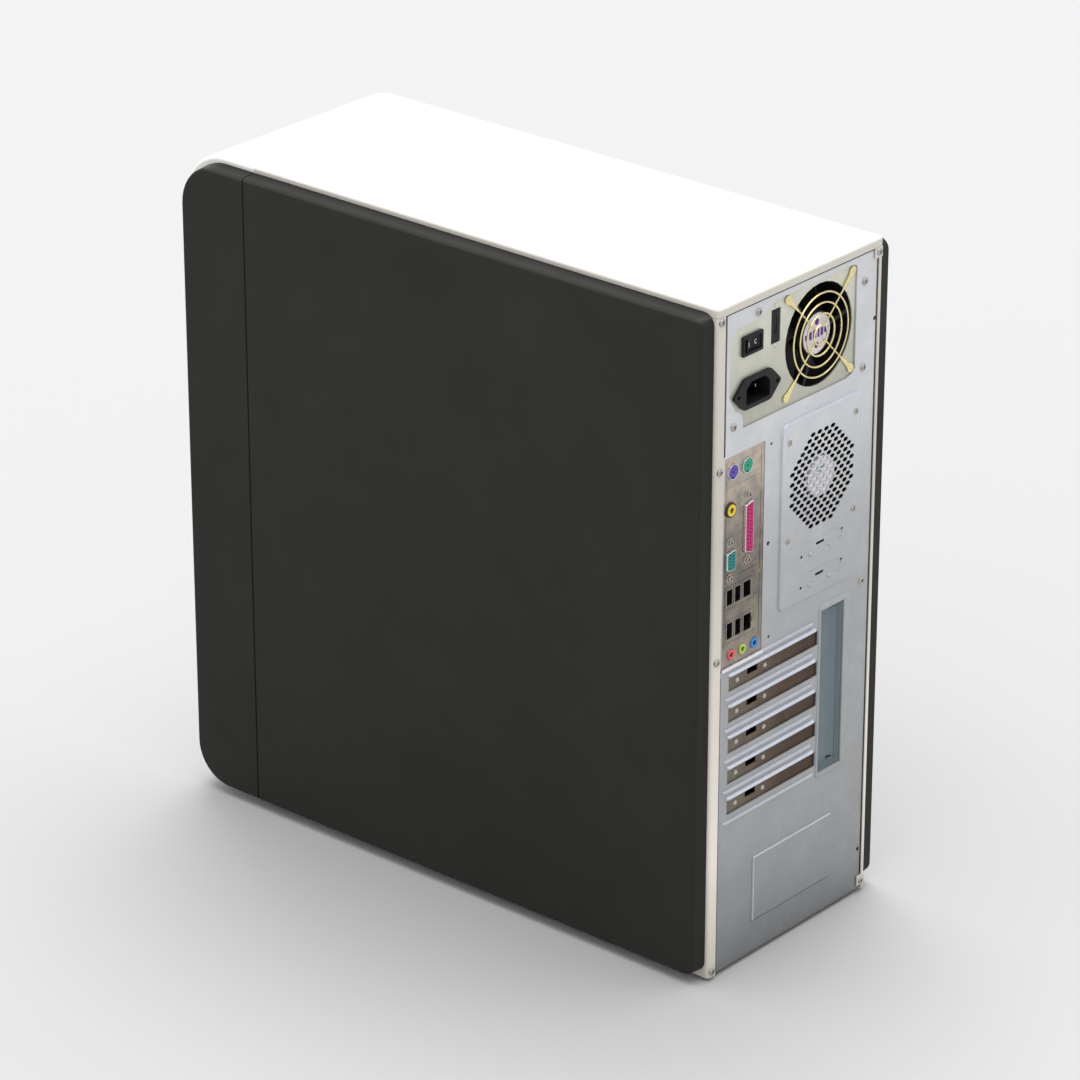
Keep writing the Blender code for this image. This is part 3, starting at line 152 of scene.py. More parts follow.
# ---------------------------------------------------------------- solids
def placed(point, along, axis):
    u, v = point
    return {"X": (along, u, v), "Y": (u, along, v), "Z": (u, v, along)}[axis]


def loft(rings, closed=False):
    """A solid through rings of points: capped at its ends, or bent round to meet itself."""
    shape = bmesh.new()
    loops = [[shape.verts.new(p) for p in ring] for ring in rings]
    pairs = list(zip(loops, loops[1:]))
    if closed:
        pairs.append((loops[-1], loops[0]))
    else:
        shape.faces.new(loops[0])
        shape.faces.new(loops[-1])
    for a, b in pairs:
        for i in range(len(a)):
            j = (i + 1) % len(a)
            shape.faces.new((a[i], a[j], b[j], b[i]))
    bmesh.ops.recalc_face_normals(shape, faces=shape.faces)
    return shape


def prism(outline, axis, start, end, far_outline=None):
    near = [placed(p, start, axis) for p in outline]
    far = [placed(p, end, axis) for p in far_outline or outline]
    return loft([near, far])


def block_y(x, z, half_x, half_z, start, end, radius=0.0):
    """A block about a point of the X-Z plane, from one Y level to another."""
    return prism(around(x, z, half_x, half_z, radius), "Y", start, end)


def disc_y(x, z, radius, start, end, sides):
    """A disc or a bore about a point of the X-Z plane, from one Y level to another."""
    return prism(circle((x, z), radius, sides), "Y", start, end)


def box(low, high):
    return prism(rectangle(low[:2], high[:2]), "Z", low[2], high[2])


def turned(centre, profile, sides=32, axis="Y"):
    """A solid of revolution: profile is radius and distance along the axis, from one end to the other."""
    x, y, z = centre
    flat = {"X": (y, z), "Y": (x, z), "Z": (x, y)}[axis]
    start = {"X": x, "Y": y, "Z": z}[axis]
    return loft([
        [placed(p, start + along, axis) for p in circle(flat, max(radius, 1e-5), sides)]
        for radius, along in profile
    ])


def lathe_ring(centre, inner, outer, start, end, sides=40):
    """A ring about the Y axis with softly rounded front edges."""
    soft = min(0.35 * MM, (outer - inner) / 3)
    section = [(inner, start), (outer, start), (outer, end - soft), (outer - soft * 0.3, end - soft * 0.3),
        (outer - soft, end),
        (inner + soft, end), (inner + soft * 0.3, end - soft * 0.3), (inner, end - soft)]
    rings = []
    for i in range(sides):
        a = math.tau * i / sides
        rings.append([(centre[0] + r * math.cos(a), centre[1] + y, centre[2] + r * math.sin(a))
            for r, y in section])
    return loft(rings, closed=True)


def tube(points, radius, sides=10, closed=False):
    """A round wire along points."""
    points = [Vector(p) for p in points]
    rings, normal = [], None
    count = len(points)
    for i, point in enumerate(points):
        before = points[i - 1] if i or closed else point
        after = points[(i + 1) % count] if i < count - 1 or closed else point
        along = (after - before).normalized()
        if normal is None:
            normal = along.orthogonal()
        normal = (normal - along * normal.dot(along)).normalized()
        across = along.cross(normal)
        rings.append([
            point + (
                normal * math.cos(math.tau * k / sides) + across * math.sin(math.tau * k / sides)) * radius
            for k in range(sides)
        ])
    return loft(rings, closed)


def gathered(shapes):
    whole = bmesh.new()
    for shape in shapes:
        mesh = bpy.data.meshes.new("part")
        shape.to_mesh(mesh)
        whole.from_mesh(mesh)
        bpy.data.meshes.remove(mesh)
        shape.free()
    return whole


def moved(shape, shift=(0, 0, 0), turn=None):
    if turn is not None:
        bmesh.ops.transform(shape, verts=shape.verts, matrix=turn)
    bmesh.ops.translate(shape, verts=shape.verts, vec=shift)
    return shape


def softened(shape, width, segments=2, angle=30):
    """Rounds the edges that are sharper than this angle, in degrees."""
    limit = math.radians(angle)
    edges = [e for e in shape.edges if len(e.link_faces) == 2 and e.calc_face_angle(0) > limit]
    bmesh.ops.bevel(
        shape, geom=edges, offset=width, segments=segments, profile=0.5, affect="EDGES", clamp_overlap=True
    )
    return shape


def as_object(name, shape):
    mesh = bpy.data.meshes.new(name)
    shape.to_mesh(mesh)
    shape.free()
    made = bpy.data.objects.new(name, mesh)
    bpy.context.scene.collection.objects.link(made)
    return made


def with_boolean(made, shapes, operation):
    helper = as_object("helper", gathered(shapes))
    boolean = made.modifiers.new(operation, "BOOLEAN")
    boolean.operation = operation
    boolean.use_self = len(shapes) > 1
    boolean.object = helper
    bpy.context.view_layer.update()
    graph = bpy.context.evaluated_depsgraph_get()
    result = bpy.data.meshes.new_from_object(made.evaluated_get(graph))
    made.modifiers.clear()
    old, made.data = made.data, result
    bpy.data.meshes.remove(old)
    bpy.data.objects.remove(helper)


def carved(shape, cutters):
    """A solid with others cut from it."""
    made = as_object("carved", shape)
    with_boolean(made, cutters, "DIFFERENCE")
    result = bmesh.new()
    result.from_mesh(made.data)
    bpy.data.objects.remove(made, do_unlink=True)
    return result


def piece(name, shape, finish, body="chassis", replaces=(), joins=(), cuts=(), adds=(),
    sharp=35):
    """One finished piece: solids joined to it, others cut, more added, then shaded, painted and placed."""
    made = as_object(name, shape)
    for shapes, operation in ((joins, "UNION"), (cuts, "DIFFERENCE"), (adds, "UNION")):
        if shapes:
            with_boolean(made, list(shapes), operation)
    made.data.name = name
    made.data.shade_smooth()
    made.data.set_sharp_from_angle(angle=math.radians(sharp))
    weighted = made.modifiers.new("Flat faces stay flat", "WEIGHTED_NORMAL")
    weighted.keep_sharp = True
    made.data.materials.clear()
    made.data.materials.append(FINISH[finish])
    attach(made, body)
    if replaces:
        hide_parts(*([replaces] if isinstance(replaces, str) else replaces))
    return made


# ---------------------------------------------------------------- materials
def surface(name, colour, rough, metal=0.0, mottle=(0.05, 40), grain=(0.12, 1600, 0.05), spread=0.06,
    streak=(1, 1, 1), second=None, fade=None, specular=0.3):
    """A procedural finish.

    mottle: how far the colour wanders and at what scale. grain: bump strength, scale and depth in mm.
    second: another colour and the scale of its patches. streak stretches the mottle. fade: an axis and the
    tints that the colour is multiplied by at places along it, in metres."""
    made = bpy.data.materials.new(name)
    made.use_nodes = True
    nodes, links = made.node_tree.nodes, made.node_tree.links
    shader = nodes["Principled BSDF"]
    shader.inputs["Metallic"].default_value = metal
    shader.inputs["Specular IOR Level"].default_value = specular
    place = nodes.new("ShaderNodeTexCoord").outputs["Object"]
    stretch = nodes.new("ShaderNodeMapping")
    stretch.inputs["Scale"].default_value = streak
    links.new(place, stretch.inputs["Vector"])

    def noise(scale, detail=4.0):
        made_noise = nodes.new("ShaderNodeTexNoise")
        made_noise.inputs["Scale"].default_value = scale
        made_noise.inputs["Detail"].default_value = detail
        links.new(stretch.outputs["Vector"], made_noise.inputs["Vector"])
        return made_noise.outputs["Fac"]

    def mixed(factor, a, b, blend="MIX"):
        mix = nodes.new("ShaderNodeMix")
        mix.data_type = "RGBA"
        mix.blend_type = blend
        for socket, value in ((mix.inputs[0], factor), (mix.inputs[6], a), (mix.inputs[7], b)):
            if isinstance(value, bpy.types.NodeSocket):
                links.new(value, socket)
            elif isinstance(value, tuple):
                socket.default_value = (*value, 1.0)
            else:
                socket.default_value = value
        return mix.outputs[2]

    def ranged(value, low, high, from_low=0.0, from_high=1.0):
        span = nodes.new("ShaderNodeMapRange")
        links.new(value, span.inputs["Value"])
        for socket, number in (("From Min", from_low), ("From Max", from_high), ("To Min", low),
            ("To Max", high)):
            span.inputs[socket].default_value = number
        return span.outputs["Result"]

    amount, scale = mottle
    dark, light = (tuple(c * (1 + s * amount) for c in colour) for s in (-1, 1))
    tone = mixed(ranged(noise(scale), 0, 1, 0.3, 0.7), dark, light)
    if second:
        other, patch = second
        tone = mixed(ranged(noise(patch, 2.0), 0, 1, 0.42, 0.62), tone, other)
    # on the white and cream paints, the dark skins, the galvanised sheet and the supply's sheet these tints
    # are painted light and shade
    if fade:
        axis, tints = fade
        split = nodes.new("ShaderNodeSeparateXYZ")
        links.new(place, split.inputs["Vector"])
        low, high = tints[0][0], tints[-1][0]
        ramp = nodes.new("ShaderNodeValToRGB")
        links.new(ranged(split.outputs[axis], 0, 1, low, high), ramp.inputs["Fac"])
        stops = ramp.color_ramp.elements
        while len(stops) < len(tints):
            stops.new(0.5)
        for stop, (where, tint) in zip(stops, tints):
            stop.position = (where - low) / (high - low)
            stop.color = (*(tint if isinstance(tint, tuple) else (tint,) * 3), 1.0)
        tone = mixed(1.0, tone, ramp.outputs["Color"], "MULTIPLY")
    links.new(tone, shader.inputs["Base Color"])
    links.new(ranged(noise(scale * 2.3), rough - spread, rough + spread, 0.3, 0.7),
        shader.inputs["Roughness"])
    strength, fine, depth = grain
    if strength:
        bump = nodes.new("ShaderNodeBump")
        bump.inputs["Strength"].default_value = strength
        bump.inputs["Distance"].default_value = depth * MM
        links.new(noise(fine, 2.0), bump.inputs["Height"])
        links.new(bump.outputs["Normal"], shader.inputs["Normal"])
    return made


def at_height(*tints):
    """Tints up the object, each with its height over the base in millimetres."""
    return "Z", [(BASE + height * MM, tint) for height, tint in tints]


CASING = (TOP - BASE) / MM
FINISH = {
    # painted shade: below the top 2.5 mm the white paint is 0.8 as bright, so the top cover's rounded rim
    # and lip read darker than its top
    "white_paint": surface("White paint", (0.80, 0.765, 0.70), 0.45, mottle=(0.012, 12),
        grain=(0.10, 900, 0.05), fade=at_height((CASING - 2.5, 0.80), (CASING - 0.6, 1.0))),
    # painted light and shade: the side covers are 0.8 as bright at the floor, 1.28 as bright 90 mm up and
    # 0.9 at 330 mm, as light and floor shade would fall
    "cream_paint": surface(
        "Cream paint", (0.68, 0.635, 0.57), 0.45, mottle=(0.03, 20), grain=(0.10, 900, 0.05),
        fade=at_height((0, 0.80), (14, 1.0), (90, 1.28), (250, 1.06), (330, 0.90), (CASING, 1.0)),
    ),
    # painted light and shade: the skins are 0.86 as bright at the floor, a painted highlight line twice as
    # bright lies 6.6 to 7.4 mm under the top, and painted shade dims the top wall above it to 0.42
    "dark_plastic": surface(
        "Dark moulded plastic", (0.0265, 0.0255, 0.0230), 0.55, mottle=(0.07, 15), grain=(0.35, 2200, 0.06),
        specular=0.10, fade=at_height((0, 0.86), (CASING - 8.2, 1.0), (CASING - 7.4, 2.1),
            (CASING - 6.6, 2.1), (CASING - 5.5, 0.62), (CASING - 4.6, 0.42)),
    ),
    "white_plastic": surface("White moulded plastic", (0.86, 0.85, 0.82), 0.40, mottle=(0.02, 15),
        grain=(0.2, 2200, 0.04)),
    # painted shade and reflection: the sheet is 0.2 as bright in its lowest 2 mm as a painted contact line,
    # and grows brighter with height up to 1.12, standing for the shaded floor that it reflects
    "galvanised": surface(
        "Galvanised sheet", (0.61, 0.625, 0.64), 0.42, metal=0.45, mottle=(0.05, 90),
        grain=(0.12, 500, 0.04), spread=0.08, second=((0.585, 0.60, 0.62), 35),
        fade=at_height((0, 0.20), (2, 0.38), (40, 0.52), (105, 0.62), (240, 0.68), (320, 0.80), (390, 1.05),
            (CASING, 1.12)),
    ),
    # painted shade: the supply's plated sheet is 0.82 as bright below 415 mm and grows brighter up to 1.15
    # at the top
    "psu_steel": surface("Zinc plated sheet", (0.60, 0.60, 0.52), 0.45, metal=0.55, mottle=(0.05, 60),
        grain=(0.12, 700, 0.04), fade=at_height((415, 0.82), (440, 0.90), (480, 1.10), (CASING, 1.15))),
    "shield_steel": surface(
        "Tin plated sheet", (0.50, 0.43, 0.355), 0.36, metal=0.7, mottle=(0.14, 160),
        grain=(0.15, 400, 0.06), second=((0.36, 0.325, 0.30), 75),
        fade=at_height((232, 0.80), (252, 0.66), (300, 0.44), (340, 0.60), (385, 1.05), (CASING, 1.1)),
    ),
    "black_plastic": surface("Black plastic", (0.012, 0.012, 0.014), 0.45, specular=0.18, mottle=(0.10, 60),
        grain=(0.2, 1800, 0.04)),
    "grey_plastic": surface("Dark grey plastic", (0.040, 0.040, 0.045), 0.5, specular=0.2,
        mottle=(0.06, 60), grain=(0.25, 1800, 0.04)),
    "hood_steel": surface("Blue grey painted sheet", (0.165, 0.215, 0.235), 0.5, metal=0.15,
        mottle=(0.05, 40), grain=(0.15, 900, 0.04)),
    "gold_wire": surface("Gold passivated wire", (0.86, 0.74, 0.38), 0.26, metal=1.0, mottle=(0.08, 120),
        grain=(0.08, 900, 0.02)),
    "board_green": surface("Solder mask", (0.018, 0.105, 0.045), 0.34, mottle=(0.18, 220),
        grain=(0.3, 700, 0.06), second=((0.03, 0.15, 0.07), 160)),
    "aluminium": surface("Aluminium", (0.74, 0.75, 0.76), 0.34, metal=1.0, mottle=(0.05, 80),
        grain=(0.15, 900, 0.03), streak=(1, 1, 0.08)),
    "rubber": surface("Rubber", (0.02, 0.02, 0.02), 0.8, mottle=(0.15, 200), grain=(0.4, 1500, 0.05)),
    "magenta_plastic": surface("Magenta plastic", (0.50, 0.012, 0.14), 0.42, mottle=(0.08, 300)),
    "teal_plastic": surface("Teal plastic", (0.012, 0.20, 0.20), 0.42, mottle=(0.08, 300)),
    "yellow_plastic": surface("Yellow plastic", (0.82, 0.58, 0.03), 0.4, mottle=(0.08, 300)),
    "screw_steel": surface("Screw steel", (0.47, 0.45, 0.42), 0.32, metal=1.0, mottle=(0.18, 500),
        grain=(0.2, 2500, 0.03)),
    "bright_steel": surface("Bright steel", (0.82, 0.82, 0.84), 0.25, metal=1.0, mottle=(0.05, 200)),
    # painted highlight: a brighter, bluer copy of the galvanised sheet, for the lips over the slots and the
    # strips along the fan's plate and the lower plate
    "sheet_highlight": surface("Sheet with painted highlight", (0.62, 0.66, 0.74), 0.35, metal=0.35, mottle=(0.05, 200),
        grain=(0.1, 700, 0.03)),
    # painted highlight, milder: a lighter, bluer copy of the galvanised sheet for the ribs between the
    # slots
    "sheet_soft_highlight": surface("Pressed ribs with painted highlight", (0.49, 0.52, 0.57), 0.38, metal=0.35, mottle=(0.05, 200),
        grain=(0.1, 700, 0.03)),
    "board_white": surface("Ivory nylon", (0.72, 0.70, 0.62), 0.45, mottle=(0.04, 120),
        grain=(0.15, 1500, 0.03)),
    "dark_steel": surface("Dark steel and painted shade", (0.07, 0.065, 0.06), 0.5, metal=0.6, mottle=(0.2, 200)),
    "label_white": surface("Label paper", (0.82, 0.80, 0.84), 0.5, mottle=(0.03, 200),
        grain=(0.1, 1500, 0.02)),
    "label_purple": surface("Label print", (0.13, 0.045, 0.30), 0.5, mottle=(0.1, 300)),
    "purple_plastic": surface("Purple plastic", (0.115, 0.075, 0.42), 0.42, mottle=(0.08, 300)),
    "mint_plastic": surface("Green plastic", (0.02, 0.37, 0.21), 0.42, mottle=(0.08, 300)),
    "pink_plastic": surface("Pink plastic", (0.72, 0.12, 0.13), 0.42, mottle=(0.08, 300)),
    "lime_plastic": surface("Lime plastic", (0.44, 0.62, 0.10), 0.42, mottle=(0.08, 300)),
    "blue_plastic": surface("Blue plastic", (0.05, 0.27, 0.68), 0.42, mottle=(0.08, 300)),
    "mark_white": surface("White print", (0.75, 0.77, 0.80), 0.5, mottle=(0.05, 400)),
    "slot_brown": surface(
        "Tarnished cover", (0.30, 0.26, 0.20), 0.42, metal=0.5, mottle=(0.14, 90), grain=(0.15, 400, 0.05),
        fade=("X", [(SLOT_LEFT, (0.22, 0.15, 0.13)), (SLOT_LEFT + 40 * MM, (0.30, 0.22, 0.18)),
            (SLOT_RIGHT, (0.62, 0.62, 0.60))]),
    ),
    "copper": surface("Gold contacts", (0.85, 0.62, 0.28), 0.28, metal=1.0, mottle=(0.1, 400)),
}


# ---------------------------------------------------------------- covers, skins and bezel
def top_cover():
    start = SEAM + GAP / 2
    rim, turn = 2.8 * MM, 6
    body = softened(box((-SIDE, SEAM - LIP, TOP - 4 * LIP), (SIDE, REAR_LIP, TOP)), rim, turn)
    inner = softened(
        box((-SIDE + SHEET, SEAM - 2 * LIP, TOP - 5 * LIP), (SIDE - SHEET, REAR_LIP - SHEET, TOP - SHEET)),
        rim - SHEET, 4,
    )
    far = 2 * SIDE
    front = box((-far, SEAM - 3 * LIP, TOP - 6 * LIP), (far, start, TOP + LIP))
    under = box((-far, SEAM - 4 * LIP, TOP - 7 * LIP), (far, REAR_LIP + LIP, TOP - LIP))
    piece("top_panel", body, "white_paint", replaces="top_cover", cuts=[inner, front, under])


def side_cover(label, sign, flange, tab):
    """The painted plate, its rear flange with a soft outer edge, and its folded top."""
    top = TOP - LIP - GAP
    low_x, high_x = sorted((sign * (SIDE - flange), sign * SIDE))
    inner = sorted((sign * (SIDE - 2 * flange), sign * (SIDE - SHEET)))
    outline = rounded(
        (low_x, SEAM + GAP / 2), (high_x, REAR_LIP),
        (0.1 * MM, 0.1 * MM, 3.0 * MM, 0.7 * MM) if sign > 0 else (0.1 * MM, 0.1 * MM, 0.7 * MM, 3.0 * MM),
        6,
    )
    body = prism(outline, "Z", BASE, top)
    hollow = prism(
        rounded((inner[0], SEAM - LIP), (inner[1], REAR_LIP - SHEET),
            (0.1 * MM, 0.1 * MM, 2.0 * MM, 0.1 * MM) if sign > 0 else (0.1 * MM, 0.1 * MM, 0.1 * MM,
                2.0 * MM), 4),
        "Z", BASE - LIP, top - SHEET,
    )
    tabs = []
    if tab:
        edges = sorted((sign * (SIDE - SHEET), sign * (SIDE - tab)))
        for low in (top - 8 * MM, BASE + 3.5 * MM):
            tabs.append(softened(
                box((edges[0], REAR_LIP - SHEET, low), (edges[1], REAR_LIP + 0.1 * MM, low + 8 * MM)),
                0.3 * MM, 2))
    piece(f"side_panel_{label}", body, "cream_paint", f"{label}_side", f"side_cover_{label}", cuts=[hollow],
        adds=tabs)


def skin_ring(x, low, high, radii, inset):
    """The skin's outline at one X, drawn in by an inset that leaves its corners round."""
    drawn = tuple(max(r - inset, 0.2 * MM) for r in radii)
    outline = rounded((low[0] + inset, low[1] + inset), (high[0] - inset, high[1] - inset), drawn, 10)
    return [(x, y, z) for y, z in outline]


def skin(name, node, body, sign, front, rear, radii, seam_side, drop=4.4 * MM):
    """A moulded skin: drafted walls, a soft round to its flat face, and a fine groove at the seam."""
    margin = 4.4 * MM
    root, face = SIDE + GAP, SIDE + SKIN_DEPTH
    low, high = (front, BASE + margin), (rear, TOP - drop)
    rings = [skin_ring(sign * root, low, high, radii, 0)]
    draft = 0.8 * MM
    for i in range(9):
        angle = math.radians(90 * i / 8)
        inset = draft + SKIN_ROUND * (1 - math.cos(angle))
        rings.append(skin_ring(sign * (face - SKIN_ROUND + SKIN_ROUND * math.sin(angle)), low, high, radii,
            inset))
    shape = loft(rings)
    seam_y = SEAM + seam_side * 0.4 * MM
    plane = {"plane_co": (0, seam_y, 0), "plane_no": (0, -seam_side, 0)}
    geometry = [*shape.verts, *shape.edges, *shape.faces]
    bmesh.ops.bisect_plane(shape, geom=geometry, clear_outer=True, **plane)
    rim = [e for e in shape.edges if e.is_boundary]
    bmesh.ops.holes_fill(shape, edges=rim, sides=0)
    edge = [
        e for e in shape.edges
        if all(abs(v.co.y - seam_y) < 1e-6 for v in e.verts)
        and abs(e.verts[0].co.x) + abs(e.verts[1].co.x) > 2 * root + 1e-4
    ]
    bmesh.ops.bevel(shape, geom=edge, offset=0.7 * MM, segments=3, profile=0.5, affect="EDGES",
        clamp_overlap=True)
    bmesh.ops.recalc_face_normals(shape, faces=shape.faces)
    ends = sorted((seam_y, rear if seam_side > 0 else front))
    wall = 2 * SKIN_WALL
    hollow_low, hollow_high = sorted((sign * SIDE, sign * (face - SKIN_WALL)))
    inner_radii = tuple(max(r - wall, SKIN_WALL) for r in radii)
    if seam_side > 0:
        inner_radii = (SKIN_WALL, inner_radii[1], inner_radii[2], SKIN_WALL)
    else:
        inner_radii = (inner_radii[0], SKIN_WALL, SKIN_WALL, inner_radii[3])
    hollow = prism(
        rounded((ends[0] + wall, low[1] + wall), (ends[1] - wall, high[1] - wall), inner_radii, 6),
        "X", hollow_low, hollow_high,
    )
    piece(name, shape, "dark_plastic", body, node, cuts=[hollow])


def skins():
    rear = REAR - 2.0 * MM
    for label, sign, drop in (("right", 1, 4.4 * MM), ("left", -1, 6.3 * MM)):
        skin(f"skin_{label}", f"side_skin_{label}", f"{label}_side", sign, SEAM - 0.05, rear, (9 * MM,) * 4,
            1, drop)
        skin(f"cheek_{label}", f"bezel_cheek_{label}", "chassis", sign, FRONT + 7.5 * MM, SEAM + 0.05,
            (32 * MM, 9 * MM, 9 * MM, 35 * MM), -1, drop)


def front_bezel():
    """The moulded front, open for drives, buttons and air."""
    wall, top_round, low_round = SKIN_WALL, 40 * MM, 34 * MM
    back = SEAM + 0.05
    rings = []
    edge = 3.2 * MM
    for side in (-1, 1):
        made = []
        for inset_x, inset in ((SIDE - edge + out, edge - rise) for rise, out in
            ((edge * math.cos(math.radians(a)), edge * math.sin(math.radians(a)))
                for a in (0, 22.5, 45, 67.5, 90))):
            low, high = (FRONT + inset, BASE + inset), (back, TOP - inset)
            outline = rounded(low, high, (low_round - inset, wall, wall, top_round - inset), 20)
            made.append([(side * inset_x, y, z) for y, z in outline])
        rings += list(reversed(made)) if side < 0 else made
    shape = loft(rings)
    inner = rounded((FRONT + wall, BASE + wall), (back + wall, TOP - wall),
        (low_round - wall, wall, wall, top_round - wall), 12)
    hollow = prism(inner, "X", -SIDE + wall, SIDE - wall)
    rear_cut = box((-2 * SIDE, SEAM - GAP / 2, BASE - LIP), (2 * SIDE, REAR, TOP + LIP))
    through = (FRONT - LIP, FRONT + 2 * wall)
    cuts = []
    for name in ("optical_drive", "bay_cover", "floppy_drive"):
        low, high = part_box(name)
        cuts.append(prism(around(0, (low.z + high.z) / 2, max(-low.x, high.x) + GAP,
            (high.z - low.z) / 2 + GAP), "Y", *through))
    for name in ("power_button", "reset_button"):
        low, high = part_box(name)
        cuts.append(prism(circle((0, middle(name).z), high.x + GAP, 40), "Y", *through))
    for i in range(6):
        z = BASE + low_round + 8 * MM + i * 12 * MM
        cuts.append(prism(around(0, z, 55 * MM, 1.8 * MM, 1.7 * MM), "Y", *through))
    piece("bezel", shape, "white_plastic", replaces="front_bezel", cuts=[hollow, rear_cut, *cuts])


# ---------------------------------------------------------------- screws
def pan_head(x, y, z, radius, height=1.5 * MM):
    """A pan-head screw facing the rear, with a cross recess."""
    curve = [(radius * math.cos(math.radians(a)),
        height * (0.35 + 0.65 * math.sin(math.radians(a)))) for a in (0, 20, 40, 60, 78, 90)]
    head = turned((x, y, z), [(radius * 0.97, -0.4 * MM), (radius, 0.1 * MM), *curve], 24)
    made = as_object("screw", head)
    arm, wide = radius * 0.55, radius * 0.13
    tilt = Matrix.Rotation(chance.uniform(0, math.pi / 2), 4, "Y")
    cross = [
        moved(prism(rectangle((-a, -b), (a, b)), "Y", height * 0.35, 2 * height), (x, y, z), tilt)
        for a, b in ((arm, wide), (wide, arm))
    ]
    with_boolean(made, cross, "DIFFERENCE")
    shape = bmesh.new()
    shape.from_mesh(made.data)
    bpy.data.objects.remove(made)
    return shape


def screws():
    """The screws at the rear: of the side covers, the power supply and the rear fan."""
    strip = SIDE - 3.9 * MM
    heights = (TOP - 10.7 * MM, TOP - 121.2 * MM, TOP - 266 * MM, BASE + 4.8 * MM)
    piece("right_cover_screws", gathered([pan_head(strip, REAR_LIP, z, 2.9 * MM) for z in heights]),
        "screw_steel", "right_side")
    tabs = ((-SIDE + 4.9 * MM, TOP - 10.9 * MM), (-SIDE + 5.6 * MM, BASE + 7.3 * MM))
    piece("left_cover_screws", gathered([pan_head(x, REAR_LIP, z, 2.7 * MM) for x, z in tabs]),
        "screw_steel", "left_side")
    supply = ((47.0, 14.6), (-73.3, 27.9), (-73.7, 93.1), (72.7, 92.0))
    heads = [pan_head(x * MM, REAR, TOP - drop * MM - 1.1 * MM, 2.9 * MM) for x, drop in supply]
    fan = [
        pan_head(CASE_FAN.x + sx * 38 * MM, REAR + VENT_RISE, CASE_FAN.z + sz * 37.6 * MM - 0.4 * MM,
            2.4 * MM, 0.9 * MM)
        for sx in (-1, 1) for sz in (-1, 1)
    ]
    boss = [pan_head(-78.8 * MM, REAR + 0.2 * MM, TOP - 261.5 * MM, 3.0 * MM)]
    piece("rear_screws", gathered(heads + fan + boss), "screw_steel")


# ---------------------------------------------------------------- rear panel
def psu_window():
    """The opening over the power supply, stepped round its screws."""
    right, left = PSU_HIGH.x - 1 * MM, PSU_FAN.x - FAN_REACH - 4.75 * MM
    top, shoulder = PSU_HIGH.z - 1.2 * MM, PSU_HIGH.z - 9.5 * MM
    low = PSU_LOW.z + 1.5 * MM
    return (
        [(right - 15.7 * MM, low), (right - 15.7 * MM, low + 5 * MM), (right - 13.6 * MM, low + 10.5 * MM)]
        + [(right - 11 * MM, low + 13 * MM), (right - 6.8 * MM, low + 15.3 * MM),
            (right - 2.6 * MM, low + 22 * MM)]
        + [(right - 0.4 * MM, low + 26 * MM), (right, low + 28 * MM)]
        + arc((right - 13 * MM, shoulder - 13 * MM), 13 * MM, 0, 90, 10)
        + [(45 * MM, shoulder), (40.5 * MM, shoulder + 1.2 * MM), (36.5 * MM, shoulder + 4 * MM)]
        + [(32.5 * MM, top - 2.4 * MM), (28.5 * MM, top - 0.5 * MM), (25 * MM, top)]
        + [(left + 4 * MM, top), (left + 1.2 * MM, top - 1.2 * MM), (left, top - 4 * MM)]
        + [(left, low + 5 * MM), (left + 4 * MM, low + 1.7 * MM), (left + 10 * MM, low)]
    )


def grille(centre, reach, pitch, hole, start, end):
    """Rows of six-sided holes that fill an eight-sided field."""
    holes = []
    rows, columns = int(reach / pitch[1]), int(reach / pitch[0]) + 1
    half_x, half_z = hole[0] / 2, hole[1] / 2
    for row in range(-rows, rows + 1):
        for column in range(-columns, columns + 1):
            x, z = (column + (row % 2) / 2) * pitch[0], row * pitch[1]
            if max(abs(x), abs(z), (abs(x) + abs(z)) * 0.74) <= reach - half_x * 0.7:
                cx, cz = centre[0] + x, centre[1] + z
                outline = [
                    (cx - half_x, cz), (cx - half_x * 0.55, cz - half_z), (cx + half_x * 0.55, cz - half_z),
                    (cx + half_x, cz), (cx + half_x * 0.55, cz + half_z), (cx - half_x * 0.55, cz + half_z),
                ]
                holes.append(prism(outline, "Y", start, end))
    return holes


def pressed(outline_of, rise, slope):
    """A raised area with sloping sides; outline_of gives its outline at an inset."""
    levels = [(0, -0.5 * MM), (0, 0.02 * MM), (slope * 0.15, rise * 0.45), (slope * 0.45, rise * 0.86),
        (slope, rise)]
    return loft([[placed(p, REAR + up, "Y") for p in outline_of(inset)] for inset, up in levels])


def bar(x_low, x_high, z_low, z_high, rise):
    """A half-round rib along X."""
    half = (z_high - z_low) / 2
    mid = (z_low + z_high) / 2
    profile = [(REAR - 0.5 * MM, mid - half), *[
        (REAR + rise * math.sin(math.radians(a)), mid - half * math.cos(math.radians(a))) for a in range(0,
            181, 20)
        ], (REAR - 0.5 * MM, mid + half)]
    rings = [
        [(x, y if y < REAR else REAR + (y - REAR) * scale, mid + (z - mid) * (0.6 + 0.4 * scale))
            for y, z in profile]
        for x, scale in ((x_low, 0.05), (x_low + 0.5 * MM, 0.6), (x_low + 1.5 * MM, 1.0),
            (x_high - 1.5 * MM, 1.0), (x_high - 0.5 * MM, 0.6), (x_high, 0.05))
    ]
    return loft(rings)


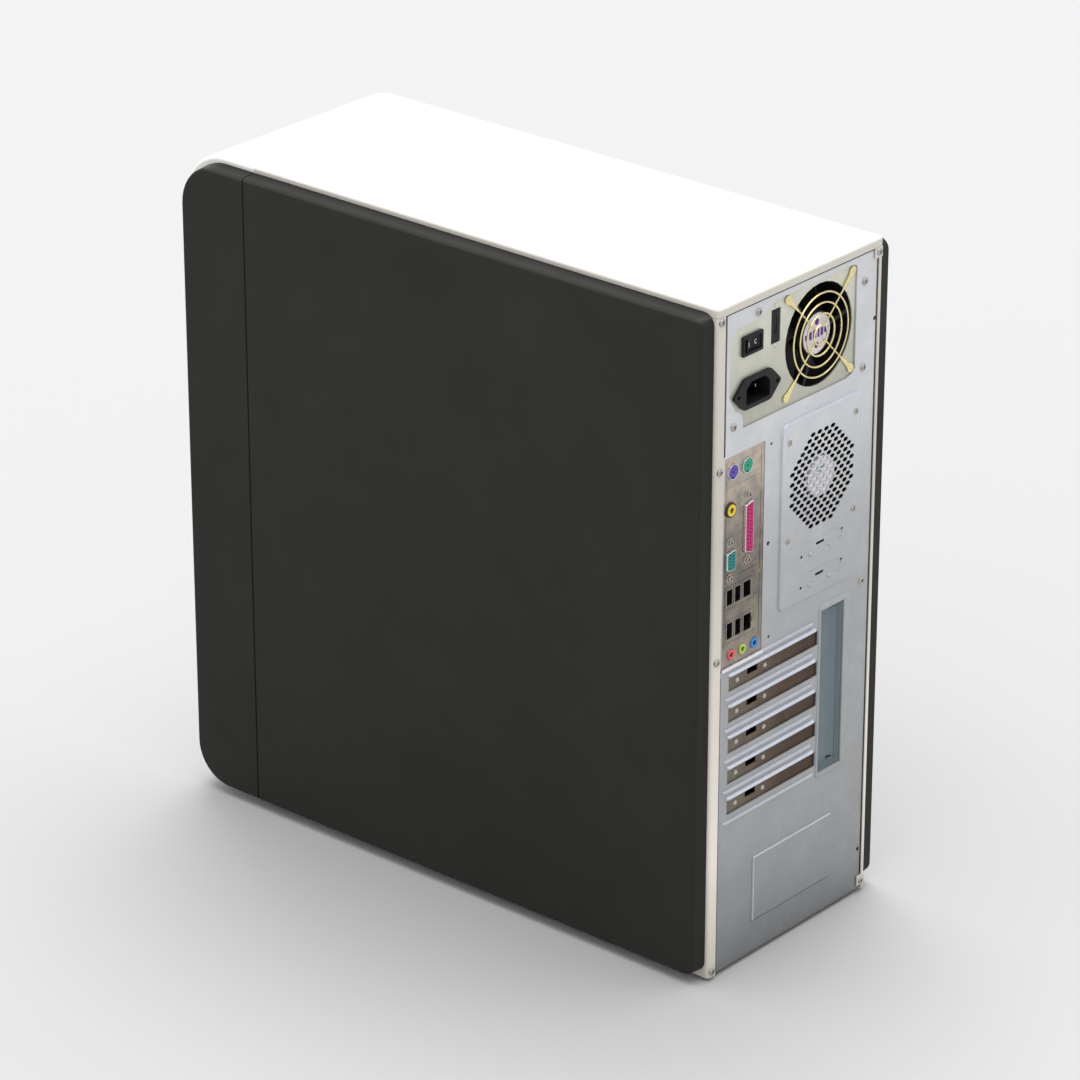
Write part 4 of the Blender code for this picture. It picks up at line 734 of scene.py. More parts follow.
def knock_out(x_right, z_top):
    """A D-shaped plate pressed a little into the sheet: what is cut, and the dots raised along it."""
    def outline(inset):
        return blunt([
            (x_right - 6.2 * MM - inset * 0.3, z_top - inset),
            (x_right - 47 * MM + inset * 0.3, z_top - inset),
            (x_right - 53.5 * MM + inset, z_top - 5.5 * MM),
            (x_right - 50.5 * MM + inset, z_top - 12 * MM + inset),
            (x_right - 5 * MM - inset * 0.5, z_top - 12.6 * MM + inset),
            (x_right - inset, z_top - 6.2 * MM), ], 1.5 * MM)
    face = REAR + VENT_RISE
    mid = x_right - 27.6 * MM
    through = (REAR - 3 * MM, REAR + 4 * MM)
    cuts = [
        loft([[placed(p, y, "Y") for p in outline(inset)] for inset, y in
            ((-0.2 * MM, face + MM), (0, face), (0.5 * MM, face - 0.45 * MM))]),
        prism(around(mid, z_top - 5.4 * MM, 4.8 * MM, 1.0 * MM, 0.9 * MM), "Y", *through),
        prism(circle((x_right - 6.3 * MM, z_top - 10.2 * MM), 1.2 * MM, 16), "Y", *through),
        prism(circle((x_right - 52.5 * MM, z_top - 3.1 * MM), 1.2 * MM, 16), "Y", *through),
    ]
    dots = [
        turned((x, face - 0.45 * MM, z_top - 11.2 * MM),
            [(1.8 * MM, -0.3 * MM), (1.8 * MM, 0), (1.5 * MM, 0.7 * MM), (0.8 * MM, 1.15 * MM),
                (0.2 * MM, 1.25 * MM)], 16)
        for x in (x_right - 16.4 * MM, x_right - 38.9 * MM)
    ]
    return cuts, dots


def rear_panel():
    low, high = BASE, TOP - SHEET - GAP
    body = softened(box((-FRAME, REAR - RETURN, low), (FRAME, REAR, high)), 0.8 * MM, 3)
    hollow = box((-FRAME + SHEET, REAR - 2 * RETURN, low + SHEET),
        (FRAME - SHEET, REAR - SHEET, high - SHEET))
    shelf = TOP - LIP - 2 * GAP - SHEET
    notches = [
        box((x_low, REAR - 2 * RETURN, shelf), (x_high, REAR + LIP, TOP))
        for x_low, x_high in ((SIDE - 9.9 * MM, SIDE), (-SIDE, -SIDE + 4.6 * MM))
    ]
    # the shadow gap that the covers leave round the sheet
    gap, deep = 1.7 * MM, 2.0 * MM
    left, right, under = -SIDE + 4.3 * MM, SIDE - 8.6 * MM, TOP - LIP
    notches += [
        box((left - gap, REAR - deep, under - gap), (right + gap, REAR + LIP, under + gap)),
        box((right - 3.0 * MM, REAR - deep, SHIELD_HIGH.z + 2 * MM), (right + 2 * gap, REAR + LIP, under)),
        box((right - 2.0 * MM, REAR - 0.7 * MM, low + 2 * MM),
            (right + 2 * gap, REAR + LIP, SHIELD_LOW.z - 6 * MM)),
        box((left - 2 * gap, REAR - deep, low + 12 * MM), (left + 1.4 * MM, REAR + LIP, under)),
    ]

    def vent(inset):
        return rounded((VENT_LOW.x + inset, VENT_LOW.y + inset), (VENT_HIGH.x - inset, VENT_HIGH.y - inset),
            (8 * MM, 3 * MM, 8 * MM, 8 * MM), 8)

    def lower_plate(inset):
        return rectangle((-48.5 * MM + inset, BASE + 26.5 * MM + inset),
            (42 * MM - inset, BASE + 78.5 * MM - inset))

    def hood_frame(inset):
        return rounded((HOOD_LOW.x - 8.2 * MM + inset, HOOD_LOW.z - 4.6 * MM + inset),
            (HOOD_HIGH.x + 1.9 * MM - inset, HOOD_HIGH.z + 4.6 * MM - inset), 2.5 * MM, 6)

    raised = [
        pressed(vent, VENT_RISE, 1.1 * MM), pressed(lower_plate, 1.3 * MM, 0.8 * MM),
        pressed(hood_frame, 0.9 * MM, 1.1 * MM),
    ]
    ribs, folds = [], []
    for mid in SLOT_MIDS:
        top = mid + SLOT_HALF
        ribs.append(bar(SLOT_LEFT + 3 * MM, SLOT_RIGHT + 1.0 * MM, top + 0.2 * MM, top + 3.4 * MM,
            2.2 * MM))
        folds.append(bar(SLOT_LEFT + 6 * MM, SLOT_RIGHT + 4.5 * MM, top + 6.0 * MM, top + 9.0 * MM,
            1.5 * MM))
    low_rib = SLOT_MIDS[-1] - SLOT_HALF - 7.4 * MM
    folds.append(bar(SLOT_LEFT + 2 * MM, SLOT_RIGHT + 4.5 * MM, low_rib, low_rib + 2.8 * MM, 1.3 * MM))
    # the lips over the slots and the ribs between them are drawn in brighter copies of the sheet: painted
    # highlights
    piece("slot_lips", gathered(ribs), "sheet_highlight")
    piece("slot_ribs", gathered(folds), "sheet_soft_highlight")
    # painted highlights: bright strips of sheet along the upper rim of the fan's plate, and along the top
    # edge and the +X edge of the lower plate
    rim = prism(vent(0.2 * MM), "Y", REAR - 0.5 * MM, REAR + 1.75 * MM)
    softened(rim, 0.5 * MM, 2, 50)
    keep_out = [prism(vent(2.2 * MM), "Y", REAR - 2 * MM, REAR + 4 * MM),
        box((VENT_LOW.x - LIP, REAR - LIP, VENT_LOW.y - LIP),
            (VENT_HIGH.x + LIP, REAR + LIP, VENT_HIGH.y - 30 * MM))]
    piece("fan_plate_highlight", rim, "sheet_highlight", cuts=keep_out)
    # the lower plate's painted highlight strips, on its top edge and its +X edge
    low_x, high_x, low_z, high_z = -48.5 * MM, 42 * MM, BASE + 26.5 * MM, BASE + 78.5 * MM
    edges = [
        softened(box((low_x, REAR - 0.3 * MM, high_z - 0.9 * MM), (high_x, REAR + 1.35 * MM, high_z)),
            0.35 * MM, 2),
        softened(box((high_x - 0.8 * MM, REAR - 0.3 * MM, low_z),
            (high_x, REAR + 1.35 * MM, high_z - 0.5 * MM)), 0.35 * MM, 2),
    ]
    piece("lower_plate_highlight", gathered(edges), "sheet_highlight")
    notches += [
        box((low_x - 0.9 * MM, REAR - 0.8 * MM, low_z - 1.0 * MM), (high_x, REAR + LIP, low_z + 0.1 * MM)),
        box((low_x - 1.0 * MM, REAR - 0.8 * MM, low_z - 0.5 * MM),
            (low_x + 0.1 * MM, REAR + LIP, high_z - MM)),
    ]
    boss = (-78.8 * MM, REAR, TOP - 261.5 * MM)
    raised.append(turned(boss, [(5.0 * MM, -0.5 * MM), (5.0 * MM, 0), (4.5 * MM, 0.45 * MM),
        (3.8 * MM, 0.5 * MM)], 24))
    through = (REAR - 3 * MM, REAR + 5 * MM)
    holes = [
        prism(psu_window(), "Y", *through),
        prism(rectangle((SHIELD_LOW.x - GAP, SHIELD_LOW.z - GAP),
            (SHIELD_HIGH.x + GAP, SHIELD_HIGH.z + GAP)), "Y", *through),
        prism(rectangle((HOOD_LOW.x - GAP, HOOD_LOW.z - GAP), (HOOD_HIGH.x + GAP, HOOD_HIGH.z + GAP)), "Y",
            *through),
    ]
    for mid in SLOT_MIDS:
        holes.append(prism(
            rounded((SLOT_LEFT, mid - SLOT_HALF), (SLOT_RIGHT, mid + SLOT_HALF), 0.5 * MM, 3), "Y",
            *through))
    for x, drop, radius in ((29.7, 119.1, 1.2), (31.2, 194.6, 1.7), (28.5, 267.7, 1.2), (-86.0, 60.6, 1.7),
        (-84.6, 482.6, 1.7), (74.5, 37.5, 0.9)):
        holes.append(prism(circle((x * MM, TOP - drop * MM), radius * MM, 16), "Y", *through))
    holes += grille((CASE_FAN.x, CASE_FAN.z), 38 * MM, (7.6 * MM, 3.9 * MM), (6.0 * MM, 3.15 * MM),
        *through)
    bumps = []
    for drop in (207.8, 231.9):
        cuts, dots = knock_out(0.2 * MM, TOP - drop * MM)
        holes += cuts
        bumps += dots
    hollow_back = loft([
        [placed(p, y, "Y") for p in vent(inset)]
        for inset, y in ((1.2 * MM, REAR - 2 * MM), (1.2 * MM, REAR - 0.9 * MM),
            (2.0 * MM, REAR + 0.4 * MM), (2.4 * MM, REAR + 0.7 * MM))
    ])
    thinned = disc_y(CASE_FAN.x, CASE_FAN.z, 40 * MM, REAR - 2 * MM, REAR + 1.15 * MM, 48)
    piece("back_panel", body, "galvanised", replaces="rear_panel", joins=raised,
        cuts=[hollow, hollow_back, thinned, *notches, *holes], adds=bumps)
    # the folded edge under the connector plate, in bright steel as a painted highlight on the sheet's fold
    lip = SHIELD_LOW.z - 0.2 * MM
    edge = softened(box((SHIELD_LOW.x - 0.6 * MM, REAR, lip - 2.9 * MM),
        (SHIELD_HIGH.x + 0.9 * MM, REAR + 1.5 * MM, lip)), 0.7 * MM, 4)
    piece("shield_ledge", edge, "bright_steel")


def slot_covers():
    """Blank brackets with dimples and a window, behind the slots."""
    for i, mid in enumerate(SLOT_MIDS):
        low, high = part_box(f"slot_cover_{i + 1}")
        body = softened(box((low.x, low.y, low.z), high), 0.3 * MM, 2)
        inside = box((low.x + SHEET, low.y - MM, low.z - MM), (SIDE, high.y - SHEET, high.z + MM))
        window = block_y(44.8 * MM, mid + 2.4 * MM, 5.9 * MM, 2.9 * MM, high.y - 3 * MM, REAR, 0.4 * MM)
        dimples = [
            turned((x * MM, high.y, mid - 0.4 * MM),
                [(1.9 * MM, -0.5 * MM), (1.9 * MM, 0), (1.5 * MM, 0.5 * MM), (0.8 * MM, 0.8 * MM),
                    (0.2 * MM, 0.9 * MM)], 20)
            for x in (61.8, 30.3)
        ]
        piece(f"slot_blank_{i + 1}", body, "slot_brown", replaces=f"slot_cover_{i + 1}",
            cuts=[inside, window])
        piece(f"slot_blank_{i + 1}_dimples", gathered(dimples), "psu_steel")


def hood():
    """The tray over the bracket screws: a shallow pan with a slit at each end, and the fold beside it."""
    low, high = HOOD_LOW, HOOD_HIGH
    body = softened(box(low, high), 0.4 * MM, 2)
    floor = low.y + SHEET
    pan = loft([
        [placed(p, y, "Y") for p in rounded((low.x + a, low.z + b), (high.x - c, high.z - b), 1.2 * MM, 5)]
        for y, a, b, c in (
            (floor, 6.5 * MM, 1.4 * MM, 1.4 * MM), (floor + 0.4 * MM, 5.0 * MM, 1.1 * MM, 1.1 * MM),
            (floor + 1.6 * MM, 2.8 * MM, 0.9 * MM, 0.9 * MM), (high.y + MM, 0.8 * MM, 0.8 * MM, 0.8 * MM),
        )
    ])
    slits = [
        block_y(low.x + 6.6 * MM, z, 3.0 * MM, 0.9 * MM, low.y - MM, high.y + MM, 0.8 * MM)
        for z in (low.z + 4 * MM, high.z - 4 * MM)
    ]
    piece("screw_hood", body, "hood_steel", replaces="slot_screw_hood", cuts=[pan, *slits])
    band = softened(box((low.x - 7.4 * MM, REAR - 0.3 * MM, low.z - 2.5 * MM),
        (low.x - 0.5 * MM, REAR + 1.4 * MM, high.z + 2.5 * MM)), 1.1 * MM, 5)
    piece("hood_fold", band, "galvanised")


# ---------------------------------------------------------------- power supply
def supply_trim():
    """The voltage selector's plate and its rivets."""
    face = BEHIND
    selector = middle("voltage_selector")
    rivets = [
        turned((selector.x, face, selector.z + s * 14.8 * MM),
            [(1.9 * MM, -0.2 * MM), (1.9 * MM, 0.15 * MM), (1.4 * MM, 0.7 * MM), (0.6 * MM, 0.9 * MM)], 20)
        for s in (-1, 1)
    ]
    piece("selector_rivets", gathered(rivets), "psu_steel")
    low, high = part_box("voltage_selector")
    plate = softened(block_y(selector.x, selector.z, 4.7 * MM, 12.3 * MM, low.y, high.y, 0.5 * MM),
        0.25 * MM, 2)
    slit = block_y(selector.x, selector.z, 1.5 * MM, 6.0 * MM, high.y - 0.5 * MM, REAR, 0.4 * MM)
    key = softened(block_y(selector.x, selector.z + 2.6 * MM, 1.3 * MM, 3.0 * MM, high.y - 1.2 * MM,
        high.y - 0.2 * MM), 0.2 * MM)
    piece("selector_plate", plate, "black_plastic", replaces="voltage_selector", cuts=[slit], adds=[key])


def fan_guard():
    """Three wire rings, a small one over the label, and four legs that flatten into screw eyes."""
    wire = 0.72 * MM
    level = BEHIND + GAP + wire
    centre = Vector((PSU_FAN.x, level + 0.9 * MM, PSU_FAN.z))
    shapes = []
    for inset in (7.0, 14.5, 22.5, 30.5):
        path = [(x, centre.y, z) for x, z in circle((centre.x, centre.z), FAN_BORE - inset * MM, 72)]
        shapes.append(tube(path, wire, 10, closed=True))
    cuts = []
    for i in range(4):
        angle = math.radians(45 + 90 * i)
        out = Vector((math.cos(angle), 0, math.sin(angle)))
        side = Vector((-out.z, 0, out.x))
        end = FAN_REACH * math.sqrt(2)
        start = FAN_BORE - 30.5 * MM
        bend = FAN_BORE + 1.5 * MM
        shapes.append(tube(
            [centre + out * start - Vector((0, 1.5 * wire, 0)),
                centre + out * (bend - 4 * MM) - Vector((0, 1.5 * wire, 0)),
                centre + out * bend - Vector((0, 1.6 * wire, 0))], wire, 10))
        # the flattened end: a tongue that widens to the eye
        widths = ((bend - 5 * MM, 0.8), (bend + 1.0 * MM, 1.25), (end - 5.0 * MM, 1.75),
            (end - 2.6 * MM, 2.5))
        left = [centre + out * d + side * w * MM for d, w in widths]
        right = [centre + out * d - side * w * MM for d, w in reversed(widths)]
        head = [
            centre + out * end + (out * math.cos(a) + side * math.sin(a)) * 3.3 * MM
            for a in (math.radians(t) for t in range(120, -121, -20))
        ]
        outline = [(p.x, p.z) for p in [*left, *head, *right]]
        tongue = prism(outline, "Y", BEHIND + GAP, BEHIND + GAP + 1.1 * MM)
        shapes.append(softened(tongue, 0.35 * MM, 2))
        eye = centre + out * end
        cuts.append(disc_y(eye.x, eye.z, 1.9 * MM, BEHIND - MM, BEHIND + 4 * MM, 20))
        shapes.append(turned((eye.x, BEHIND + GAP, eye.z),
            [(1.75 * MM, 0.1 * MM), (1.7 * MM, 0.9 * MM), (1.2 * MM, 1.5 * MM), (0.4 * MM, 1.75 * MM)], 20))
    piece("fan_guard", gathered(shapes), "gold_wire", replaces="psu_fan_guard")


def fan(name, half, bore, depth, blades, body, rear_face, turn=None, label_level=-0.5 * MM):
    """A fan: its square frame with struts and label, and a rotor of curved blades."""
    hub = bore * 0.43
    shift = Vector(rear_face)
    frame_shape = softened(
        prism(rounded((-half, -half), (half, half), 4.5 * MM, 5), "Y", -depth, 0), 0.5 * MM, 2)
    flare = turned((0, 0, 0), [(bore - 0.4 * MM, -depth - MM), (bore - 0.4 * MM, -3 * MM), (bore, -1 * MM),
        (bore + 0.5 * MM, MM)], 64)
    reach = half - 4.25 * MM
    holes = [disc_y(sx * reach, sz * reach, 2.1 * MM, -depth - MM, MM, 16) for sx in (-1,
        1) for sz in (-1, 1)]
    fixed = [turned((0, 0, 0), [(hub * 0.99, -3.6 * MM), (hub, -3.2 * MM), (hub, -1.0 * MM),
        (hub - 0.5 * MM, -0.6 * MM), (hub * 0.5, -0.55 * MM)], 48)]
    for i in range(3):
        arm = softened(box((-1.6 * MM, -3.0 * MM, hub * 0.6), (1.6 * MM, -1.1 * MM, bore + 1.2 * MM)),
            0.4 * MM, 2)
        fixed.append(moved(arm, turn=Matrix.Rotation(math.tau * i / 3 + 0.7, 4, "Y")))
    place = Matrix.Translation(shift) @ (turn or Matrix.Identity(4))
    made = piece(f"{name}_housing", frame_shape, "black_plastic", body, f"{name}_frame",
        cuts=[flare, *holes], adds=fixed)
    made.data.transform(place)
    level = label_level
    disc = turned((0, 0, 0), [(hub * 0.93, -0.8 * MM), (hub * 0.93, level - 0.06 * MM), (hub * 0.9, level),
        (0.5 * MM, level)], 48)
    sticker = piece(f"{name}_label", disc, "label_white", body)
    sticker.data.transform(place)
    bands = label_bands(hub * 0.86) if name == "psu_fan" else [
        around(0.06 * hub + shift_x * hub, (0.42 - 0.14 * row) * hub, half_x * hub, 0.035 * hub)
        for row, shift_x, half_x in ((0, 0, 0.28), (1, 0.1, 0.2))
    ]
    prints = gathered([prism(band, "Y", level - 0.02 * MM, level + 0.05 * MM) for band in bands])
    printed = piece(f"{name}_label_print", prints, LABEL_PRINT.get(name, "grey_plastic"), body)
    printed.data.transform(place)
    back, front = -4.2 * MM, -depth + 2 * MM
    rotor = [turned((0, 0, 0), [(hub * 0.9, front), (hub, front + MM), (hub, back - 0.5 * MM),
        (hub - 0.5 * MM, back), (0.5 * MM, back)], 40)]
    for i in range(blades):
        rotor.append(moved(blade(hub * 0.93, bore - 1.6 * MM, front + MM, back - MM),
            turn=Matrix.Rotation(math.tau * i / blades, 4, "Y")))
    made = piece(f"{name}_wheel", gathered(rotor), "black_plastic", f"{name}_rotor", f"{name}_rotor")
    made.data.transform(place)
    return made


LABEL_PRINT = {"psu_fan": "label_purple", "case_fan": "mint_plastic"}


def label_bands(radius):
    """A plain pattern for a label: a band broken into blocks, with a disc above and below it."""
    bands = [circle((0, radius * side * 0.62), radius * 0.17, 20) for side in (-1, 1)]
    edge = -0.95
    for width in (0.34, 0.22, 0.16, 0.30, 0.22, 0.26):
        half = radius * 0.24 * math.sqrt(max(1 - (edge + width / 2) ** 2, 0.2))
        bands.append(rectangle((radius * edge, -half), (radius * (edge + width), half)))
        edge += width + 0.08
    return bands


def blade(root, tip, front, back):
    """One thin curved blade, twisted more at its root than at its tip."""
    rings = []
    steps, thick = 7, 0.7 * MM
    for j in range(steps + 1):
        share = j / steps
        radius = root + (tip - root) * share
        sweep = math.radians(8 + 20 * share)
        span = math.radians(46 - 8 * share)
        upper, lower = [], []
        for k in range(7):
            t = k / 6
            angle = sweep + span * (t - 0.5)
            level = front + (back - front) * (0.08 + 0.84 * t) + 0.8 * MM * math.sin(math.pi * t)
            local = thick * (0.35 + 0.65 * math.sin(math.pi * min(max(t, 0.06), 0.94)))
            upper.append((radius * math.sin(angle), level + local / 2, radius * math.cos(angle)))
            lower.append((radius * math.sin(angle), level - local / 2, radius * math.cos(angle)))
        rings.append(upper + lower[::-1])
    return loft(rings)


def fans():
    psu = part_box("psu_fan_frame")
    fan("psu_fan", FAN_HALF, FAN_BORE, 25 * MM, 7, "chassis", (PSU_FAN.x, psu[1].y, PSU_FAN.z))
    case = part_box("case_fan_frame")
    fan("case_fan", FAN_HALF, FAN_BORE, 25 * MM, 7, "chassis", (CASE_FAN.x, case[1].y, CASE_FAN.z),
        label_level=REAR + 0.75 * MM - case[1].y)
    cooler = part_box("cpu_fan_frame")
    mid = middle("cpu_fan_frame")
    fan("cpu_fan", 35 * MM, 33 * MM, 15 * MM, 7, "chassis", (cooler[0].x, mid.y, mid.z),
        Matrix.Rotation(math.pi / 2, 4, "Z"))


def inlet():
    mid = middle("power_inlet")
    low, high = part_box("power_inlet")
    x, z, face = mid.x, mid.z, BEHIND + GAP
    wide, tall = (high.x - low.x) / 2, (high.z - low.z) / 2
    corners = [(x - wide, z), (x - wide * 0.55, z - tall), (x + wide * 0.55, z - tall), (x + wide, z),
        (x + wide * 0.55, z + tall), (x - wide * 0.55, z + tall)]
    outline = blunt(corners, 2.4 * MM)
    flange = softened(prism(outline, "Y", face, high.y), 0.5 * MM, 3, 50)
    barrel = block_y(x, z, 14.4 * MM, 9.9 * MM, low.y, face + MM, 1.5 * MM)
    cavity = prism(clipped(x, z, 13 * MM, 8.2 * MM, 5 * MM, 4.8 * MM, 1.0 * MM), "Y", low.y + 3 * MM,
        REAR + 0.02)
    ears = [disc_y(x + s * wide * 0.80, z, 1.5 * MM, face + 0.6 * MM, high.y + MM, 16) for s in (-1, 1)]
    core_outline = clipped(x, z, 10.4 * MM, 5.6 * MM, 4.2 * MM, 3.8 * MM, 0.8 * MM)
    core = softened(prism(core_outline, "Y", low.y + 2 * MM, low.y + 4 * MM), 0.3 * MM)
    piece("inlet_socket", flange, "black_plastic", replaces="power_inlet", joins=[barrel],
        cuts=[cavity, *ears], adds=[core])
    pins = [
        softened(box((x + dx * MM - 0.7 * MM, low.y + 3 * MM, z + dz * MM - 1.4 * MM),
            (x + dx * MM + 0.7 * MM, BEHIND - 5.0 * MM, z + dz * MM + 1.4 * MM)), 0.4 * MM, 2)
        for dx, dz in ((-6.8, -1.0), (0, 2.6), (6.8, -1.0))
    ]
    piece("inlet_pins", gathered(pins), "screw_steel")


def rocker_switch():
    low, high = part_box("psu_switch_housing")
    mid = middle("psu_switch_housing")
    x, z = mid.x, mid.z
    rim = softened(block_y(x, z, (high.x - low.x) / 2, (high.z - low.z) / 2, BEHIND + GAP, high.y,
        0.8 * MM), 0.4 * MM, 2, 50)
    barrel = block_y(x, z, 9.4 * MM, 5.7 * MM, low.y, BEHIND + MM)
    pocket = block_y(x, z, 9.0 * MM, 5.2 * MM, BEHIND - 10 * MM, REAR + 0.02, 0.4 * MM)
    piece("switch_housing", rim, "black_plastic", replaces="psu_switch_housing", joins=[barrel],
        cuts=[pocket])
    pivot = Vector((x, BEHIND - 0.5 * MM, z))
    profile = [(-8.2, 2.8), (-6.5, 1.95), (-4.5, 1.2), (-2.2, 0.72), (0, 0.55), (2.2, 0.72), (4.5, 1.2),
        (6.5, 1.95), (8.2, 2.8),
        (8.0, 1.6), (7.0, -2.2), (2.5, -5.0), (-2.5, -5.0), (-7.0, -2.2), (-8.0, 1.6)]
    outline = [(pivot.x + u * MM, pivot.y + v * MM) for u, v in profile]
    shape = softened(prism(outline, "Z", z - 4.8 * MM, z + 4.8 * MM), 0.25 * MM, 2)
    tilt = Matrix.Translation(pivot) @ Matrix.Rotation(math.radians(7), 4, "Z") @ Matrix.Translation(-pivot)
    made = piece("switch_rocker", shape, "black_plastic", "psu_rocker", "psu_switch_rocker")
    made.data.transform(tilt)
    # the plain on and off marks: a line and a ring
    line = block_y(x + 4.4 * MM, z, 0.22 * MM, 1.7 * MM, pivot.y + 0.9 * MM, pivot.y + 1.45 * MM)
    ring = tube([(x - 4.6 * MM + px, pivot.y + 1.25 * MM, z + pz)
        for px, pz in circle((0, 0), 1.5 * MM, 32)], 0.3 * MM, 8, True)
    marks = piece("switch_marks", gathered([line, ring]), "mark_white", "psu_rocker")
    marks.data.transform(tilt)


# ---------------------------------------------------------------- connectors
def port(dx, dz):
    """A point on the shield, in millimetres from its upper corner beside the board."""
    return SHIELD_HIGH.x + GAP - dx * MM, SHIELD_HIGH.z + GAP - dz * MM


PS2 = ((8.9, 11.6, "purple_plastic"), (24.9, 11.7, "mint_plastic"))
RCA = (6.7, 39.6)
AUDIO = ((10.5, 151.8, "pink_plastic"), (23.2, 151.8, "lime_plastic"), (36.5, 151.8, "blue_plastic"))
SOCKETS = {
    "usb_ports": ((7.5, 106.5, 3.2, 5.9), (16.6, 106.5, 3.1, 5.9), (27.0, 106.3, 4.1, 6.1)),
    "lan_ports": ((7.9, 132.3, 3.1, 6.1), (17.3, 132.3, 3.1, 6.1), (27.8, 132.3, 4.2, 6.2)),
}
D_PORTS = {
    "parallel_port": (26.7, 59.0, 3.8, 19.2, 24.8, "magenta_plastic", 13),
    "serial_port": (7.1, 78.2, 4.2, 7.1, 13.6, "teal_plastic", 5),
}


def d_outline(x, z, half_x, half_z, radius=1.4 * MM):
    slant = half_z * 0.08 + 0.6 * MM
    return blunt([(x - half_x, z - half_z), (x + half_x, z - half_z + slant),
        (x + half_x, z + half_z - slant), (x - half_x, z + half_z)], radius)


def port_body(name, far, high, low, depth, finish="black_plastic", near=None):
    """A connector's moulded body on the board, with its side grooves, behind the rear panel."""
    x_far, z_high = port(far, high)
    x_near = SHIELD_HIGH.x + GAP - near * MM if near else BOARD_FACE - GAP
    z_low = port(0, low)[1]
    body = softened(box((x_far, BEHIND - depth * MM, z_low), (x_near, BEHIND, z_high)), 0.5 * MM, 2)
    grooves = [
        box((x_far - MM, BEHIND - depth * MM * share - 0.6 * MM, z_low - MM),
            (x_far + 0.5 * MM, BEHIND - depth * MM * share + 0.6 * MM, z_high + MM))
        for share in (0.3, 0.6)
    ]
    return piece(f"{name}_body", body, finish, replaces=name, cuts=grooves)


def round_ports():
    port_body("ps2_ports", 32.5, 4.5, 19.5, 13)
    port_body("rca_socket", 15.5, 32.5, 46.5, 12)
    port_body("audio_jacks", 42.0, 145.5, 158.0, 14)
    rims = []
    front = REAR + 0.8 * MM
    for number, (dx, dz, colour) in enumerate(PS2):
        x, z = port(dx, dz)
        core = turned((x, front, z), [(5.1 * MM, -2.4 * MM), (5.1 * MM, -0.5 * MM), (4.9 * MM, -0.2 * MM),
            (0.4 * MM, -0.2 * MM)], 32)
        holes = [disc_y(x + 2.6 * MM * math.cos(a), z + 2.6 * MM * math.sin(a), 0.55 * MM, front - 2 * MM,
            front + MM, 10)
            for a in (math.radians(t) for t in (20, 70, 110, 160, 215, 325))]
        holes.append(block_y(x, z - 0.2 * MM, 0.8 * MM, 0.9 * MM, front - 2 * MM, front + MM))
        holes.append(block_y(x, z - 4.6 * MM, 1.0 * MM, 0.9 * MM, front - 2 * MM, front + MM))
        piece(f"ps2_socket_{number + 1}", core, colour, cuts=holes)
        rims.append(lathe_ring((x, front, z), 5.15 * MM, 5.6 * MM, -2.0 * MM, 0.2 * MM))
    piece("ps2_rims", gathered(rims), "bright_steel")
    x, z = port(*RCA)
    piece("rca_ring", lathe_ring((x, REAR, z), 2.1 * MM, 4.4 * MM, -1.2 * MM, PROUD), "yellow_plastic")
    # painted shade: the dark collar round the yellow ring stands for the shade round it; the core is a dark
    # disc in the socket's centre
    collar = lathe_ring((x, REAR, z), 4.45 * MM, 5.5 * MM, -1 * MM, PROUD * 0.8)
    core = turned((x, REAR, z), [(2.05 * MM, -1.2 * MM), (2.05 * MM, PROUD * 0.6),
        (1.0 * MM, PROUD * 0.65)], 24)
    piece("rca_core", gathered([collar, core]), "dark_steel")
    for number, (dx, dz, colour) in enumerate(AUDIO):
        x, z = port(dx, dz)
        piece(f"audio_ring_{number + 1}",
            lathe_ring((x, REAR, z), 1.95 * MM, 3.8 * MM, -1.2 * MM, 0.8 * MM), colour)
        bore = turned((x, REAR, z), [(2.0 * MM, -1.25 * MM), (2.0 * MM, -1.0 * MM), (0.3 * MM, -1.0 * MM)],
            20)
        piece(f"audio_bore_{number + 1}", bore, "black_plastic")


